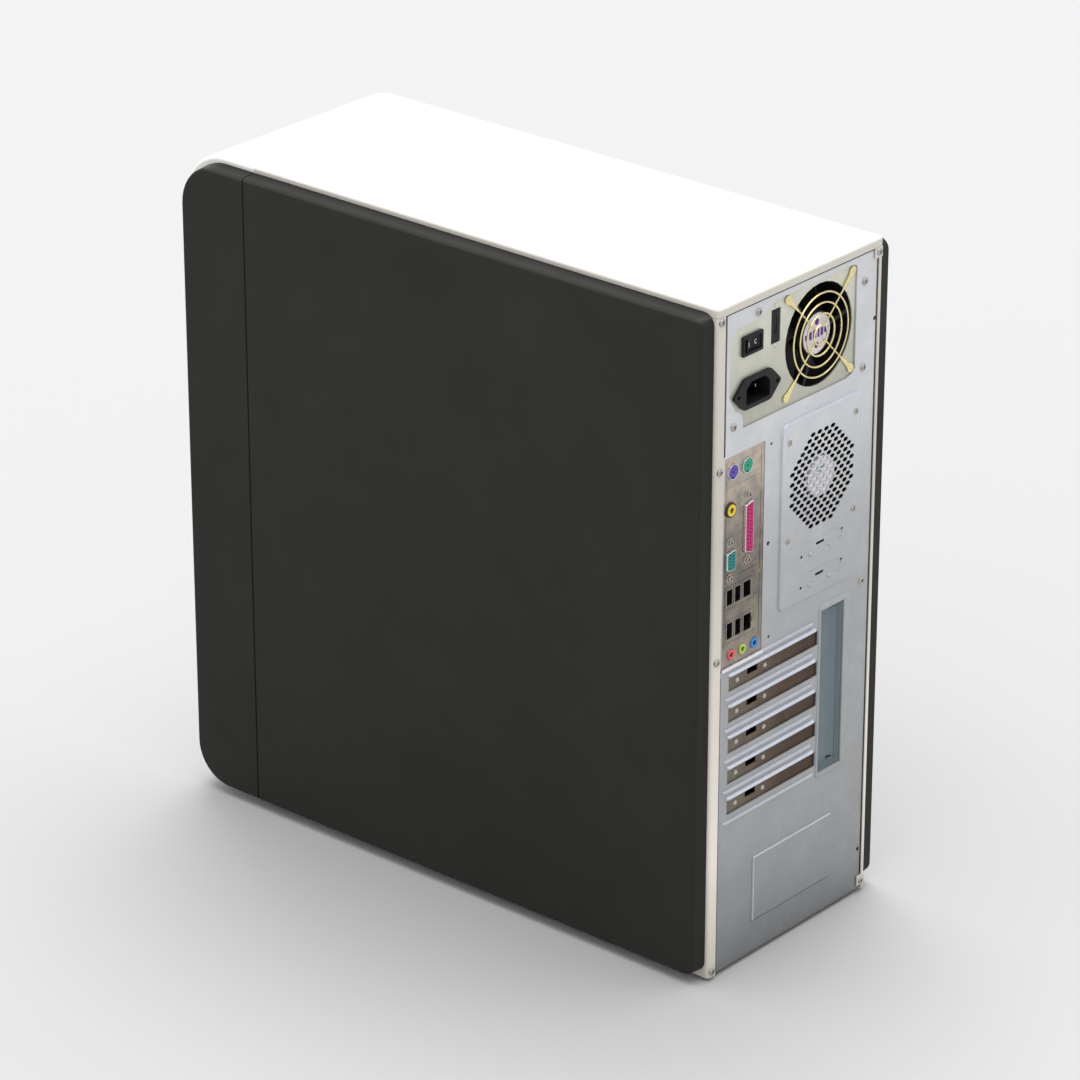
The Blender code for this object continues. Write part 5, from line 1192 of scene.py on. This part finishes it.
def d_ports():
    port_body("parallel_port", 35.0, 30.0, 88.0, 10, "grey_plastic", near=24.0)
    port_body("serial_port", 17.0, 61.0, 97.0, 10, "grey_plastic")
    for name, (dx, dz, half_x, half_z, screw, colour, pins) in D_PORTS.items():
        x, z = port(dx, dz)
        half_x, half_z = half_x * MM, half_z * MM
        face = REAR + PROUD
        shell = loft([
            [placed(p, y, "Y") for p in d_outline(x, z, half_x + a, half_z + a)]
            for y, a in ((REAR - 1.2 * MM, 0.75 * MM), (face - 0.4 * MM, 0.65 * MM), (face, 0.4 * MM),
                (face, 0.15 * MM), (REAR - 1.2 * MM, 0.15 * MM))
            ], closed=True)
        piece(f"{name}_shell", shell, "bright_steel")
        insert = softened(prism(d_outline(x, z, half_x + 0.05 * MM, half_z + 0.05 * MM), "Y",
            REAR - 1.2 * MM, face - 0.15 * MM), 0.25 * MM, 2, 50)
        holes = []
        pitch = (half_z * 2 - 4.5 * MM) / (pins - 1)
        for row, count in ((-1, pins), (1, pins - 1)):
            for k in range(count):
                pz = z + (k - (count - 1) / 2) * pitch
                holes.append(disc_y(x + row * half_x * -0.38, pz, 0.66 * MM, REAR + 0.2 * MM, REAR + 6 * MM,
                    10))
        piece(f"{name}_insert", insert, colour, cuts=holes)
        bolts = []
        for s in (-1, 1):
            cz = z + s * screw * MM
            bolts.append(turned((x, REAR, cz), [
                (2.5 * MM, -1 * MM), (2.5 * MM, PROUD - 0.5 * MM), (2.1 * MM, PROUD), (1.4 * MM, PROUD),
                (1.3 * MM, PROUD - 1.2 * MM), (0.3 * MM, PROUD - 1.3 * MM)], 6))
            bolts.append(turned((x, REAR, cz),
                [(3.3 * MM, -0.6 * MM), (3.3 * MM, 0.2 * MM), (3.0 * MM, 0.4 * MM), (2.0 * MM, 0.4 * MM)],
                24))
        piece(f"{name}_jack_screws", gathered(bolts), "screw_steel")


def square_ports():
    """Stacked sockets: thin steel rims, black liners, and the tongues and contacts inside them."""
    for name, (far, high, low) in {"usb_ports": (33.0, 99.0, 114.0),
        "lan_ports": (34.0, 124.5, 140.0)}.items():
        sockets = SOCKETS[name]
        x_far, z_high = port(far, high)
        z_low = port(0, low)[1]
        block = softened(box((x_far, BEHIND - 16 * MM, z_low),
            (BOARD_FACE - GAP, BEHIND - 0.2 * MM, z_high)), 0.4 * MM, 2)
        rims, tongues, contacts, hollows, noses = [], [], [], [], []
        for number, (dx, dz, half_x, half_z) in enumerate(sockets):
            x, z = port(dx, dz)
            half_x, half_z = half_x * MM, half_z * MM
            rims.append(loft([
                [placed(p, y, "Y") for p in around(x, z, half_x + a, half_z + a, 0.3 * MM)]
                for y, a in ((REAR - 2 * MM, 0.42 * MM), (REAR + 0.25 * MM, 0.42 * MM),
                    (REAR + 0.4 * MM, 0.25 * MM), (REAR + 0.35 * MM, 0.05 * MM), (REAR - 2 * MM, 0.05 * MM))
                ], closed=True))
            noses.append(block_y(x, z, half_x + 0.4 * MM, half_z + 0.4 * MM, BEHIND - MM, REAR - 0.4 * MM))
            hollows.append(block_y(x, z, half_x, half_z, REAR - 12 * MM, REAR + MM))
            if name == "lan_ports" and number == 2:
                hollows.append(block_y(x - half_x - 1.2 * MM, z, 1.3 * MM, 2.4 * MM, REAR - 9 * MM,
                    REAR + MM))
                for k in range(8):
                    tz = z + (k - 3.5) * 1.02 * MM
                    contacts.append(box((x + half_x - 1.0 * MM, REAR - 9 * MM, tz - 0.2 * MM),
                        (x + half_x - 0.6 * MM, REAR - 5 * MM, tz + 0.2 * MM)))
            else:
                tongues.append(softened(box((x + 0.2 * MM, REAR - 11 * MM, z - half_z + 1.2 * MM),
                    (x + 1.3 * MM, REAR - 4.0 * MM, z + half_z - 1.2 * MM)), 0.2 * MM))
                for k in range(4):
                    tz = z + (k - 1.5) * 1.9 * MM
                    contacts.append(box((x - 0.05 * MM, REAR - 10 * MM, tz - 0.4 * MM),
                        (x + 0.25 * MM, REAR - 4.6 * MM, tz + 0.4 * MM)))
        piece(f"{name}_block", block, "black_plastic", replaces=name, joins=noses, cuts=hollows)
        piece(f"{name}_rims", gathered(rims), "screw_steel")
        piece(f"{name}_tongues", gathered(tongues), "black_plastic")
        piece(f"{name}_contacts", gathered(contacts), "copper")


def shield():
    """The connector plate: a rim round each connector, pressed ribs and small stamped marks."""
    front, back = REAR - GAP, REAR - GAP - 0.6 * MM
    low, high = SHIELD_LOW, SHIELD_HIGH
    plate = prism(rectangle((low.x, low.z), (high.x, high.z)), "Y", back, front)
    cuts, adds = [], []
    through = (REAR - 4 * MM, REAR + 4 * MM)
    rounds = [(dx, dz, 5.7) for dx, dz, _ in PS2] + [(*RCA, 5.6)] + [(dx, dz, 4.0) for dx, dz, _ in AUDIO]
    for dx, dz, radius in rounds:
        x, z = port(dx, dz)
        cuts.append(prism(circle((x, z), radius * MM, 40), "Y", *through))
        adds.append(lathe_ring((x, front, z), radius * MM + 0.1 * MM, radius * MM + 0.8 * MM, -0.3 * MM,
            0.25 * MM))
    for dx, dz, half_x, half_z, screw, _, _ in D_PORTS.values():
        x, z = port(dx, dz)
        cuts.append(prism(d_outline(x, z, (half_x + 1.0) * MM, (half_z + 1.0) * MM), "Y", *through))
        cuts += [prism(circle((x, z + s * screw * MM), 2.9 * MM, 24), "Y", *through) for s in (-1, 1)]
    for sockets in SOCKETS.values():
        for dx, dz, half_x, half_z in sockets:
            x, z = port(dx, dz)
            cuts.append(prism(around(x, z, (half_x + 0.5) * MM, (half_z + 0.5) * MM, 0.35 * MM), "Y",
                *through))
    x, z = port(*SOCKETS["lan_ports"][2][:2])
    cuts.append(prism(around(x - 4.9 * MM, z, 1.2 * MM, 2.2 * MM), "Y", *through))
    # pressed ribs between the groups of connectors, and rows of small stamped dashes beside them
    for dz, x_from, x_to in ((23.5, 3.5, 40.5), (92.5, 20.0, 41.0), (99.0, 3.5, 33.0), (116.5, 3.5, 36.0),
        (124.8, 3.5, 36.0), (142.5, 3.5, 41.0)):
        x_high, z = port(x_from, dz)
        x_low, _ = port(x_to, dz)
        adds.append(rib(x_low, x_high, z - 0.6 * MM, z + 0.6 * MM, front, 0.35 * MM))
    for dx in (3.2, 42.0):
        x, _ = port(dx, 0)
        for start, end in ((4.0, 30.0), (34.0, 62.0), (66.0, 96.0), (100.0, 146.0)):
            _, z_high = port(0, start)
            _, z_low = port(0, end)
            adds.append(softened(block_y(x, (z_low + z_high) / 2, 0.55 * MM, (z_high - z_low) / 2,
                front - 0.3 * MM, front + 0.32 * MM, 0.4 * MM), 0.15 * MM))
    for dz in range(6, 150, 9):
        for dx in (18.0, 36.5):
            if clear_of_ports(dx, dz, 3.4):
                x, z = port(dx, dz)
                adds.append(softened(block_y(x, z, 1.5 * MM, 0.7 * MM, front - 0.3 * MM, front + 0.28 * MM,
                    0.3 * MM), 0.12 * MM))
    piece("connector_plate", plate, "shield_steel", replaces="io_shield", cuts=cuts, adds=adds)


def clear_of_ports(dx, dz, margin):
    """Whether a point of the shield is away from every connector."""
    for x, z, half_x, half_z in (
        [(a, b, 6, 6) for a, b, _ in PS2] + [(*RCA, 6, 6)] + [(a, b, 5, 5) for a, b, _ in AUDIO]
        + [(v[0], v[1], v[2] + 1, v[4] + 3) for v in D_PORTS.values()] + [s for group in SOCKETS.values()
            for s in group]
    ):
        if abs(dx - x) < half_x + margin and abs(dz - z) < half_z + margin:
            return False
    return True


def rib(x_low, x_high, z_low, z_high, level, rise):
    """A low rib along X on the shield."""
    return softened(block_y((x_low + x_high) / 2, (z_low + z_high) / 2, (x_high - x_low) / 2,
        (z_high - z_low) / 2, level - 0.3 * MM, level + rise, 0.4 * MM), 0.15 * MM)


# ---------------------------------------------------------------- carried-over parts
# ---------------------------------------------------------------- front drives and buttons
def slab(low, high, round_by=0.5 * MM, segments=2):
    return softened(box(low, high), round_by, segments)


def optical_drive():
    """The drive's moulded face and metal case, its tray with the disc's two steps, and its eject button."""
    low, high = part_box("optical_drive")
    tray_low, tray_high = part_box("optical_tray")
    key_low, key_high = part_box("optical_button")
    face = low.y + 4.8 * MM

    def openings():
        return [
            box((tray_low.x - GAP, low.y - LIP, tray_low.z - GAP),
                (tray_high.x + GAP, tray_high.y + GAP, tray_high.z + GAP)),
            box((key_low.x - GAP, low.y - LIP, key_low.z - GAP),
                (key_high.x + GAP, key_high.y + 1.5 * MM, key_high.z + GAP)),
        ]

    details = [
        disc_y(-62 * MM, middle("optical_button").z, 1.9 * MM, low.y - LIP, low.y + 4 * MM, 24),
        block_y(38 * MM, middle("optical_button").z, 1.6 * MM, 0.7 * MM, low.y - LIP, low.y + 0.8 * MM,
            0.6 * MM),
        block_y(-5 * MM, low.z + 5.6 * MM, 48 * MM, 0.5 * MM, low.y - LIP, low.y + 0.7 * MM, 0.4 * MM),
    ]
    piece("optical_face", slab(low, (high.x, face, high.z), 0.9 * MM, 4), "white_plastic",
        replaces="optical_drive", cuts=[*openings(), *details])
    wheel = turned((-52 * MM, low.y, middle("optical_button").z - 0.3 * MM),
        [(2.6 * MM, 1.0 * MM), (2.6 * MM, 0), (2.3 * MM, -0.3 * MM), (0.4 * MM, -0.35 * MM)], 24)
    piece("optical_volume_wheel", wheel, "grey_plastic")
    case = slab((low.x + 1.2 * MM, face - 0.6 * MM, low.z + 0.6 * MM),
        (high.x - 1.2 * MM, high.y, high.z - 0.6 * MM), 0.7 * MM)
    steps = [
        box((x - 5 * MM, high.y - 30 * MM - i * 38 * MM, high.z - 1.0 * MM),
            (x + 5 * MM, high.y - 18 * MM - i * 38 * MM, high.z + MM))
        for i in range(4) for x in (-52 * MM, 52 * MM)
    ]
    connector = box((-60 * MM, high.y - 5 * MM, low.z + 6 * MM), (40 * MM, high.y + LIP, low.z + 16 * MM))
    piece("optical_case", case, "galvanised", cuts=[*openings(), connector, *steps])
    lip = slab(tray_low, (tray_high.x, tray_low.y + 3 * MM, tray_high.z), 0.7 * MM, 4)
    line = block_y(0, middle("optical_tray").z, 30 * MM, 0.35 * MM, tray_low.y - MM, tray_low.y + 0.5 * MM,
        0.3 * MM)
    piece("optical_tray_front", lip, "white_plastic", "optical_tray", "optical_tray", cuts=[line])
    top = middle("optical_tray").z + 1.0 * MM
    bed = slab((tray_low.x + 2.4 * MM, tray_low.y + 2.6 * MM, tray_low.z + 1.4 * MM),
        (tray_high.x - 2.4 * MM, tray_high.y, top), 0.5 * MM)
    centre = (0, tray_low.y + 70 * MM)
    floor = top - 2.4 * MM
    wells = [
        prism(circle(centre, 60.4 * MM, 96), "Z", floor + 1.1 * MM, top + MM),
        prism(circle(centre, 40.4 * MM, 72), "Z", floor, top + MM),
        prism([(-17 * MM, centre[1] - 16 * MM), (17 * MM, centre[1] - 16 * MM),
            (17 * MM, centre[1] + 50 * MM), (-17 * MM, centre[1] + 50 * MM)], "Z", tray_low.z, top + MM),
    ]
    piece("optical_tray_bed", bed, "black_plastic", "optical_tray", cuts=wells)
    piece("optical_eject", slab(key_low, key_high, 0.4 * MM, 3), "grey_plastic", "optical_button",
        "optical_button")


def bay_plate():
    low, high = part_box("bay_cover")
    body = slab(low, high, 0.9 * MM, 4)
    hollow = box((low.x + 2 * MM, low.y + 2 * MM, low.z + 2 * MM),
        (high.x - 2 * MM, high.y + LIP, high.z - 2 * MM))
    lines = [block_y(0, low.z + share * (high.z - low.z), high.x - 8 * MM, 0.6 * MM, low.y - MM,
        low.y + 0.7 * MM, 0.5 * MM)
        for share in (0.28, 0.5, 0.72)]
    piece("bay_plate", body, "white_plastic", replaces="bay_cover", cuts=[hollow, *lines])


def floppy_drive():
    """The disk drive's face with its slot, shutter and finger hollow, its case, and its button."""
    low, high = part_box("floppy_drive")
    key_low, key_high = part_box("floppy_button")
    face, mid = low.y + 4.8 * MM, middle("floppy_drive").z

    def openings():
        return [
            block_y(0, mid + 3 * MM, 46 * MM, 1.9 * MM, low.y - MM, low.y + 90 * MM, 0.4 * MM),
            box((key_low.x - GAP, low.y - LIP, key_low.z - GAP),
                (key_high.x + GAP, key_high.y + 4.5 * MM, key_high.z + GAP)),
        ]

    finger = softened(block_y(0, mid + 3 * MM, 12 * MM, 4.8 * MM, low.y - 2 * MM, low.y + 3 * MM, 1.5 * MM),
        0.8 * MM)
    lamp = block_y(-36 * MM, mid - 6.4 * MM, 1.8 * MM, 0.8 * MM, low.y - MM, low.y + 0.8 * MM, 0.4 * MM)
    piece("floppy_face", slab(low, (high.x, face, high.z), 0.8 * MM, 4), "white_plastic",
        replaces="floppy_drive", cuts=[*openings(), finger, lamp])
    shutter = slab((-45.6 * MM, low.y + 1.4 * MM, mid + 1.3 * MM),
        (45.6 * MM, low.y + 2.0 * MM, mid + 4.7 * MM), 0.2 * MM)
    piece("floppy_shutter", shutter, "grey_plastic")
    case = slab((low.x + 0.6 * MM, face - 0.5 * MM, low.z + 0.5 * MM),
        (high.x - 0.6 * MM, high.y, high.z - 0.5 * MM), 0.6 * MM)
    piece("floppy_case", case, "galvanised", cuts=openings())
    piece("floppy_eject", slab(key_low, key_high, 0.5 * MM, 3), "grey_plastic", "floppy_button",
        "floppy_button")


def front_buttons():
    """Dished caps on their stems, the power mark, and the little board with the two switches."""
    for name in ("power_button", "reset_button"):
        low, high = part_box(name)
        radius, z = high.x, middle(name).z
        dish = min(radius * 0.08, 0.6 * MM)
        cap = turned((0, low.y, z), [
            (radius * 0.4, high.y - low.y), (radius * 0.4, 7.5 * MM), (radius, 7.4 * MM),
            (radius, 1.2 * MM), (radius - 0.3 * MM, 0.4 * MM),
            (radius - 1.0 * MM, 0), (radius * 0.6, dish * 0.7), (0.3 * MM, dish)], 56)
        piece(f"{name}_cap", cap, "grey_plastic", name, name)
    low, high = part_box("power_button")
    z = middle("power_button").z
    ring = [(3.4 * MM * math.sin(math.radians(a)), low.y + 0.55 * MM,
        z + 3.4 * MM * math.cos(math.radians(a))) for a in range(35, 326, 10)]
    mark = gathered([tube(ring, 0.35 * MM, 8),
        block_y(0, z + 2.6 * MM, 0.35 * MM, 1.7 * MM, low.y + 0.2 * MM, low.y + 0.9 * MM)])
    piece("power_mark", mark, "mark_white", "power_button")
    low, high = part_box("switch_board")
    holes = [disc_y(x * MM, zz, 1.4 * MM, low.y - MM, high.y + MM, 16) for x in (-16,
        16) for zz in (low.z + 4 * MM, high.z - 4 * MM)]
    piece("front_board", slab((low.x, high.y - 1.6 * MM, low.z), high, 0.25 * MM), "board_green",
        replaces="switch_board", cuts=holes)
    for name in ("power_button", "reset_button"):
        z = middle(name).z
        body = slab((-4 * MM, low.y + 1.2 * MM, z - 4 * MM), (4 * MM, high.y - 1.5 * MM, z + 4 * MM),
            0.4 * MM)
        pin = turned((0, low.y, z), [(1.7 * MM, 2.4 * MM), (1.7 * MM, 0.2 * MM), (1.5 * MM, 0),
            (0.2 * MM, 0)], 20)
        piece(f"{name}_switch", body, "black_plastic", adds=[pin])


# ---------------------------------------------------------------- inside
def on_board(back, down, size, height):
    """A block standing on the board, its rear top corner placed from the board's."""
    y, z = BEHIND - 1.2 * MM - back * MM, BOARD_HIGH.z - down * MM
    return slab((BOARD_FACE - height * MM, y - size[0] * MM, z - size[1] * MM),
        (BOARD_FACE + 0.4 * MM, y, z), 0.3 * MM)


def motherboard():
    low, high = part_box("motherboard")
    rear, top = high.y, high.z
    holes = [prism(circle((y, z), 1.9 * MM, 16), "X", low.x, high.x + MM)
        for y in (low.y + 8 * MM, low.y + 128 * MM, rear - 8 * MM) for z in (low.z + 8 * MM,
            low.z + 150 * MM, top - 8 * MM)]
    piece("main_board", slab((BOARD_FACE, low.y, low.z), high, 0.2 * MM), "board_green",
        replaces="motherboard", cuts=holes)
    sockets = []
    for mid in SLOT_MIDS:
        body = on_board(50, (BOARD_HIGH.z - mid) / MM - 4, (85, 8), 11)
        key = box((BOARD_FACE - 12 * MM, rear - 134 * MM, mid - 1.0 * MM),
            (BOARD_FACE - 3 * MM, rear - 51.5 * MM, mid + 1.0 * MM))
        sockets.append(carved(body, [key]))
    piece("expansion_sockets", gathered(sockets), "board_white")
    rails, latches = [], []
    mem_low, mem_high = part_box("memory_module")
    for i, y in enumerate((middle("memory_module").y, middle("memory_module").y - 9 * MM)):
        z_low, z_high = mem_low.z - 7 * MM, mem_high.z + 4 * MM
        rails.append(slab((mem_high.x + GAP, y - 3.1 * MM, z_low),
            (BOARD_FACE + 0.4 * MM, y + 3.1 * MM, z_high), 0.4 * MM))
        for z in (z_low, z_high):
            latches.append(slab((mem_high.x - 5 * MM, y - 2.4 * MM, z - (0 if z == z_high else 3.4 * MM)),
                (mem_high.x + 4 * MM, y + 2.4 * MM, z + (3.4 * MM if z == z_high else 0)), 0.8 * MM))
    piece("memory_sockets", gathered(rails), "black_plastic")
    piece("memory_latches", gathered(latches), "board_white")
    cool_low, cool_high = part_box("cpu_heatsink")
    socket = slab((cool_high.x + GAP, cool_low.y + 10 * MM, cool_low.z + 10 * MM),
        (BOARD_FACE + 0.4 * MM, cool_high.y - 10 * MM, cool_high.z - 10 * MM), 0.5 * MM)
    piece("processor_socket", socket, "board_white")
    piece("disk_connectors", gathered([on_board(223, 145, (9, 55), 9), on_board(212, 80, (9, 34), 9)]),
        "blue_plastic")
    piece("power_connector", on_board(205, 13, (10, 52), 11), "board_white")
    fins = [on_board(150 + 5 * i, 190, (2.2, 35), 10) for i in range(7)] + [on_board(150, 190, (35, 35), 3)]
    piece("bridge_cooler", gathered(fins), "aluminium")
    caps, tops, chips = [], [], []
    places = [(118, 60 + 13 * i) for i in range(5)] + [(36, 30 + 12 * i) for i in range(7)] + [(60 + 14 * i,
        24) for i in range(5)] \
        + [(200, 205), (200, 218), (215, 100), (215, 114), (140, 176), (160, 176)]
    for back, down in places:
        y, z = rear - back * MM, top - down * MM
        caps.append(turned((BOARD_FACE, y, z),
            [(3.9 * MM, 0.3 * MM), (3.9 * MM, -1.0 * MM), (3.6 * MM, -1.5 * MM), (3.9 * MM, -2.1 * MM),
                (3.9 * MM, -9 * MM), (3.5 * MM, -9.6 * MM)], 24, "X"))
        tops.append(turned((BOARD_FACE, y, z),
            [(3.3 * MM, -9.3 * MM), (3.3 * MM, -9.75 * MM), (3.0 * MM, -9.85 * MM), (0.3 * MM, -9.85 * MM)],
            24, "X"))
    for back, down, wide, tall, high_by in ((20, 150, 22, 22, 2), (60, 168, 14, 20, 2),
        (180, 250, 30, 30, 2.4), (155, 245, 12, 12, 1.8), (225, 215, 8, 20, 2), (28, 130, 10, 14, 1.8),
        (190, 30, 7, 12, 2), (190, 50, 7, 12, 2)):
        chips.append(on_board(back, down, (wide, tall), high_by))
    piece("capacitor_sleeves", gathered(caps), "black_plastic")
    piece("capacitor_tops", gathered(tops), "aluminium")
    piece("board_chips", gathered(chips), "black_plastic")
    cell = turned((BOARD_FACE, rear - 150 * MM, top - 270 * MM),
        [(10.5 * MM, 0.3 * MM), (10.5 * MM, -3.4 * MM), (9.8 * MM, -4.0 * MM), (0.4 * MM, -4.0 * MM)], 48,
        "X")
    piece("clock_cell", cell, "bright_steel")


def memory():
    low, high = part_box("memory_module")
    mid = middle("memory_module").y
    notch = box((high.x - 2.6 * MM, low.y - MM, low.z + 52 * MM),
        (high.x + MM, high.y + MM, low.z + 54 * MM))
    ends = [disc_y((low.x + high.x) / 2, z, 1.6 * MM, low.y - MM, high.y + MM, 20) for z in (low.z, high.z)]
    piece("memory_board", slab((low.x, mid - 0.65 * MM, low.z), (high.x, mid + 0.65 * MM, high.z),
        0.15 * MM), "board_green", replaces="memory_module", cuts=[notch, *ends])
    chips = []
    for k in range(8):
        z = low.z + 5 * MM + k * 15.7 * MM
        chips.append(slab((low.x + 6 * MM, mid - 1.75 * MM, z),
            (high.x - 10 * MM, mid - 0.5 * MM, z + 10.5 * MM), 0.2 * MM))
    piece("memory_chips", gathered(chips), "black_plastic")
    contacts = [box((high.x - 3.2 * MM, mid - 0.72 * MM, low.z + 3 * MM + k * 2.1 * MM),
        (high.x - 0.4 * MM, mid + 0.72 * MM, low.z + 4.3 * MM + k * 2.1 * MM))
        for k in range(60) if not 22 < k < 26]
    piece("memory_contacts", gathered(contacts), "copper")


def cooler():
    """Thin fins on a thick base."""
    low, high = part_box("cpu_heatsink")
    shapes = [slab((high.x - 6 * MM, low.y, low.z), high, 0.5 * MM)]
    count = 22
    for i in range(count):
        y = low.y + 0.6 * MM + (high.y - low.y - 2.2 * MM) * i / (count - 1)
        shapes.append(box((low.x, y, low.z + 0.2 * MM),
            (high.x - 5.5 * MM, y + 1.0 * MM, high.z - 0.2 * MM)))
    piece("cooler_fins", gathered(shapes), "aluminium", replaces="cpu_heatsink")


def hard_drive():
    low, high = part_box("hard_drive")
    body = slab(low, high, 1.4 * MM, 4)
    cover = loft([
        [placed(p, z, "Z") for p in rounded((low.x + inset, low.y + inset),
            (high.x - inset, high.y - 12 * MM - inset), 4 * MM, 6)]
        for z, inset in ((high.z - 0.5 * MM, 2 * MM), (high.z + 0.01 * MM, 2 * MM),
            (high.z + 0.2 * MM, 2.4 * MM))
    ])
    bay = box((low.x + 8 * MM, high.y - 7 * MM, low.z - MM),
        (high.x - 8 * MM, high.y + LIP, low.z + 12 * MM))
    holes = [prism(circle((y, low.z + 6.4 * MM), 1.7 * MM, 16), "X", low.x - MM,
        low.x + 3 * MM) for y in (low.y + 28 * MM, low.y + 70 * MM, low.y + 130 * MM)]
    piece("disk_body", body, "aluminium", replaces="hard_drive", cuts=[bay, *holes], joins=[cover])
    board = slab((low.x + 6 * MM, low.y + 30 * MM, low.z - 0.3 * MM),
        (high.x - 6 * MM, high.y - 8 * MM, low.z + 0.6 * MM), 0.1 * MM)
    piece("disk_board", board, "board_green")
    label = slab((low.x + 14 * MM, low.y + 30 * MM, high.z + 0.15 * MM),
        (high.x - 14 * MM, high.y - 34 * MM, high.z + 0.28 * MM), 0.05 * MM)
    piece("disk_label", label, "label_white")


def feet():
    for name in ("foot_right_rear", "foot_right_front", "foot_left_rear", "foot_left_front"):
        low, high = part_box(name)
        mid = middle(name)
        radius = (high.x - low.x) / 2
        depth = high.z - low.z
        pad = turned((mid.x, mid.y, low.z), [
            (radius - 1.2 * MM, 0.0), (radius - 0.4 * MM, 0.25 * MM), (radius, 0.9 * MM), (radius, depth)],
            48, "Z")
        dimple = prism(circle((mid.x, mid.y), 3 * MM, 24), "Z", low.z - MM, low.z + 1.2 * MM)
        piece(f"{name}_pad", pad, "rubber", replaces=name, cuts=[dimple])


def lead_plug():
    """The sleeved lead keeps its CAD shape; this is the plug that it ends in."""
    plug_low = Vector((BOARD_FACE - 24 * MM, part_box("motherboard")[1].y - 214.6 * MM,
        BOARD_HIGH.z - 64.5 * MM))
    plug_high = Vector((BOARD_FACE - 11.2 * MM, plug_low.y + 9.2 * MM, plug_low.z + 51 * MM))
    piece("power_plug", slab(plug_low, plug_high, 0.8 * MM), "board_white")


def carried_over():
    """The CAD nodes that keep their shape take the finish of their slot."""
    slot_of = {part["node"]: part["material_slot"] for part in frame["record"]["subparts"]}
    for name, node in frame["nodes"].items():
        node.data.materials.clear()
        node.data.materials.append(FINISH[slot_of.get(name, "black_plastic")])


# ---------------------------------------------------------------- studio
def studio():
    plane = bmesh.new()
    bmesh.ops.create_grid(plane, x_segments=1, y_segments=1, size=12)
    floor = as_object("floor", plane)
    floor.data.materials.append(surface("Studio floor", (0.50, 0.50, 0.50), 0.9, mottle=(0.0, 1),
        grain=(0, 1, 0), specular=0.0))
    world = bpy.data.worlds.new("Studio")
    world.use_nodes = True
    world.node_tree.nodes["Background"].inputs["Color"].default_value = (1, 1, 1, 1)
    world.node_tree.nodes["Background"].inputs["Strength"].default_value = 0.90
    bpy.context.scene.world = world
    for name, place, size, power, aim in (
        ("Overhead", (0.0, 0.0, 8.0), 9.0, 490, (0, 0, 0)),
        ("Key", (-3.0, -2.5, 8.0), 5.0, 306, (0, 0, 0)),
    ):
        lamp = bpy.data.lights.new(name, "AREA")
        lamp.shape = "SQUARE"
        lamp.size = size
        lamp.energy = power
        made = bpy.data.objects.new(name, lamp)
        made.location = place
        made.rotation_euler = (Vector(aim) - Vector(place)).to_track_quat("-Z", "Y").to_euler()
        bpy.context.scene.collection.objects.link(made)
    bpy.context.scene.view_settings.view_transform = "Standard"


def camera():
    azimuth, elevation, distance = math.radians(130.507), math.radians(24.383), 3.6557
    aim = Vector((-0.0046, 0.01005, 0.2444))
    back = Vector((
        math.sin(azimuth) * math.cos(elevation), -math.cos(azimuth) * math.cos(elevation),
        math.sin(elevation)
    ))
    lens = bpy.data.cameras.new("Camera")
    lens.lens = 164.7
    lens.sensor_width = 36
    made = bpy.data.objects.new("Camera", lens)
    made.location = aim + back * distance
    made.rotation_euler = (-back).to_track_quat("-Z", "Y").to_euler()
    bpy.context.scene.collection.objects.link(made)
    bpy.context.scene.camera = made


def main():
    camera()
    studio()
    carried_over()
    top_cover()
    side_cover("right", 1, 8.6 * MM, 0)
    side_cover("left", -1, 4.3 * MM, 9.5 * MM)
    skins()
    front_bezel()
    screws()
    rear_panel()
    slot_covers()
    hood()
    supply_trim()
    fan_guard()
    fans()
    inlet()
    rocker_switch()
    round_ports()
    d_ports()
    square_ports()
    shield()
    optical_drive()
    bay_plate()
    floppy_drive()
    front_buttons()
    motherboard()
    memory()
    cooler()
    hard_drive()
    feet()
    lead_plug()


main()
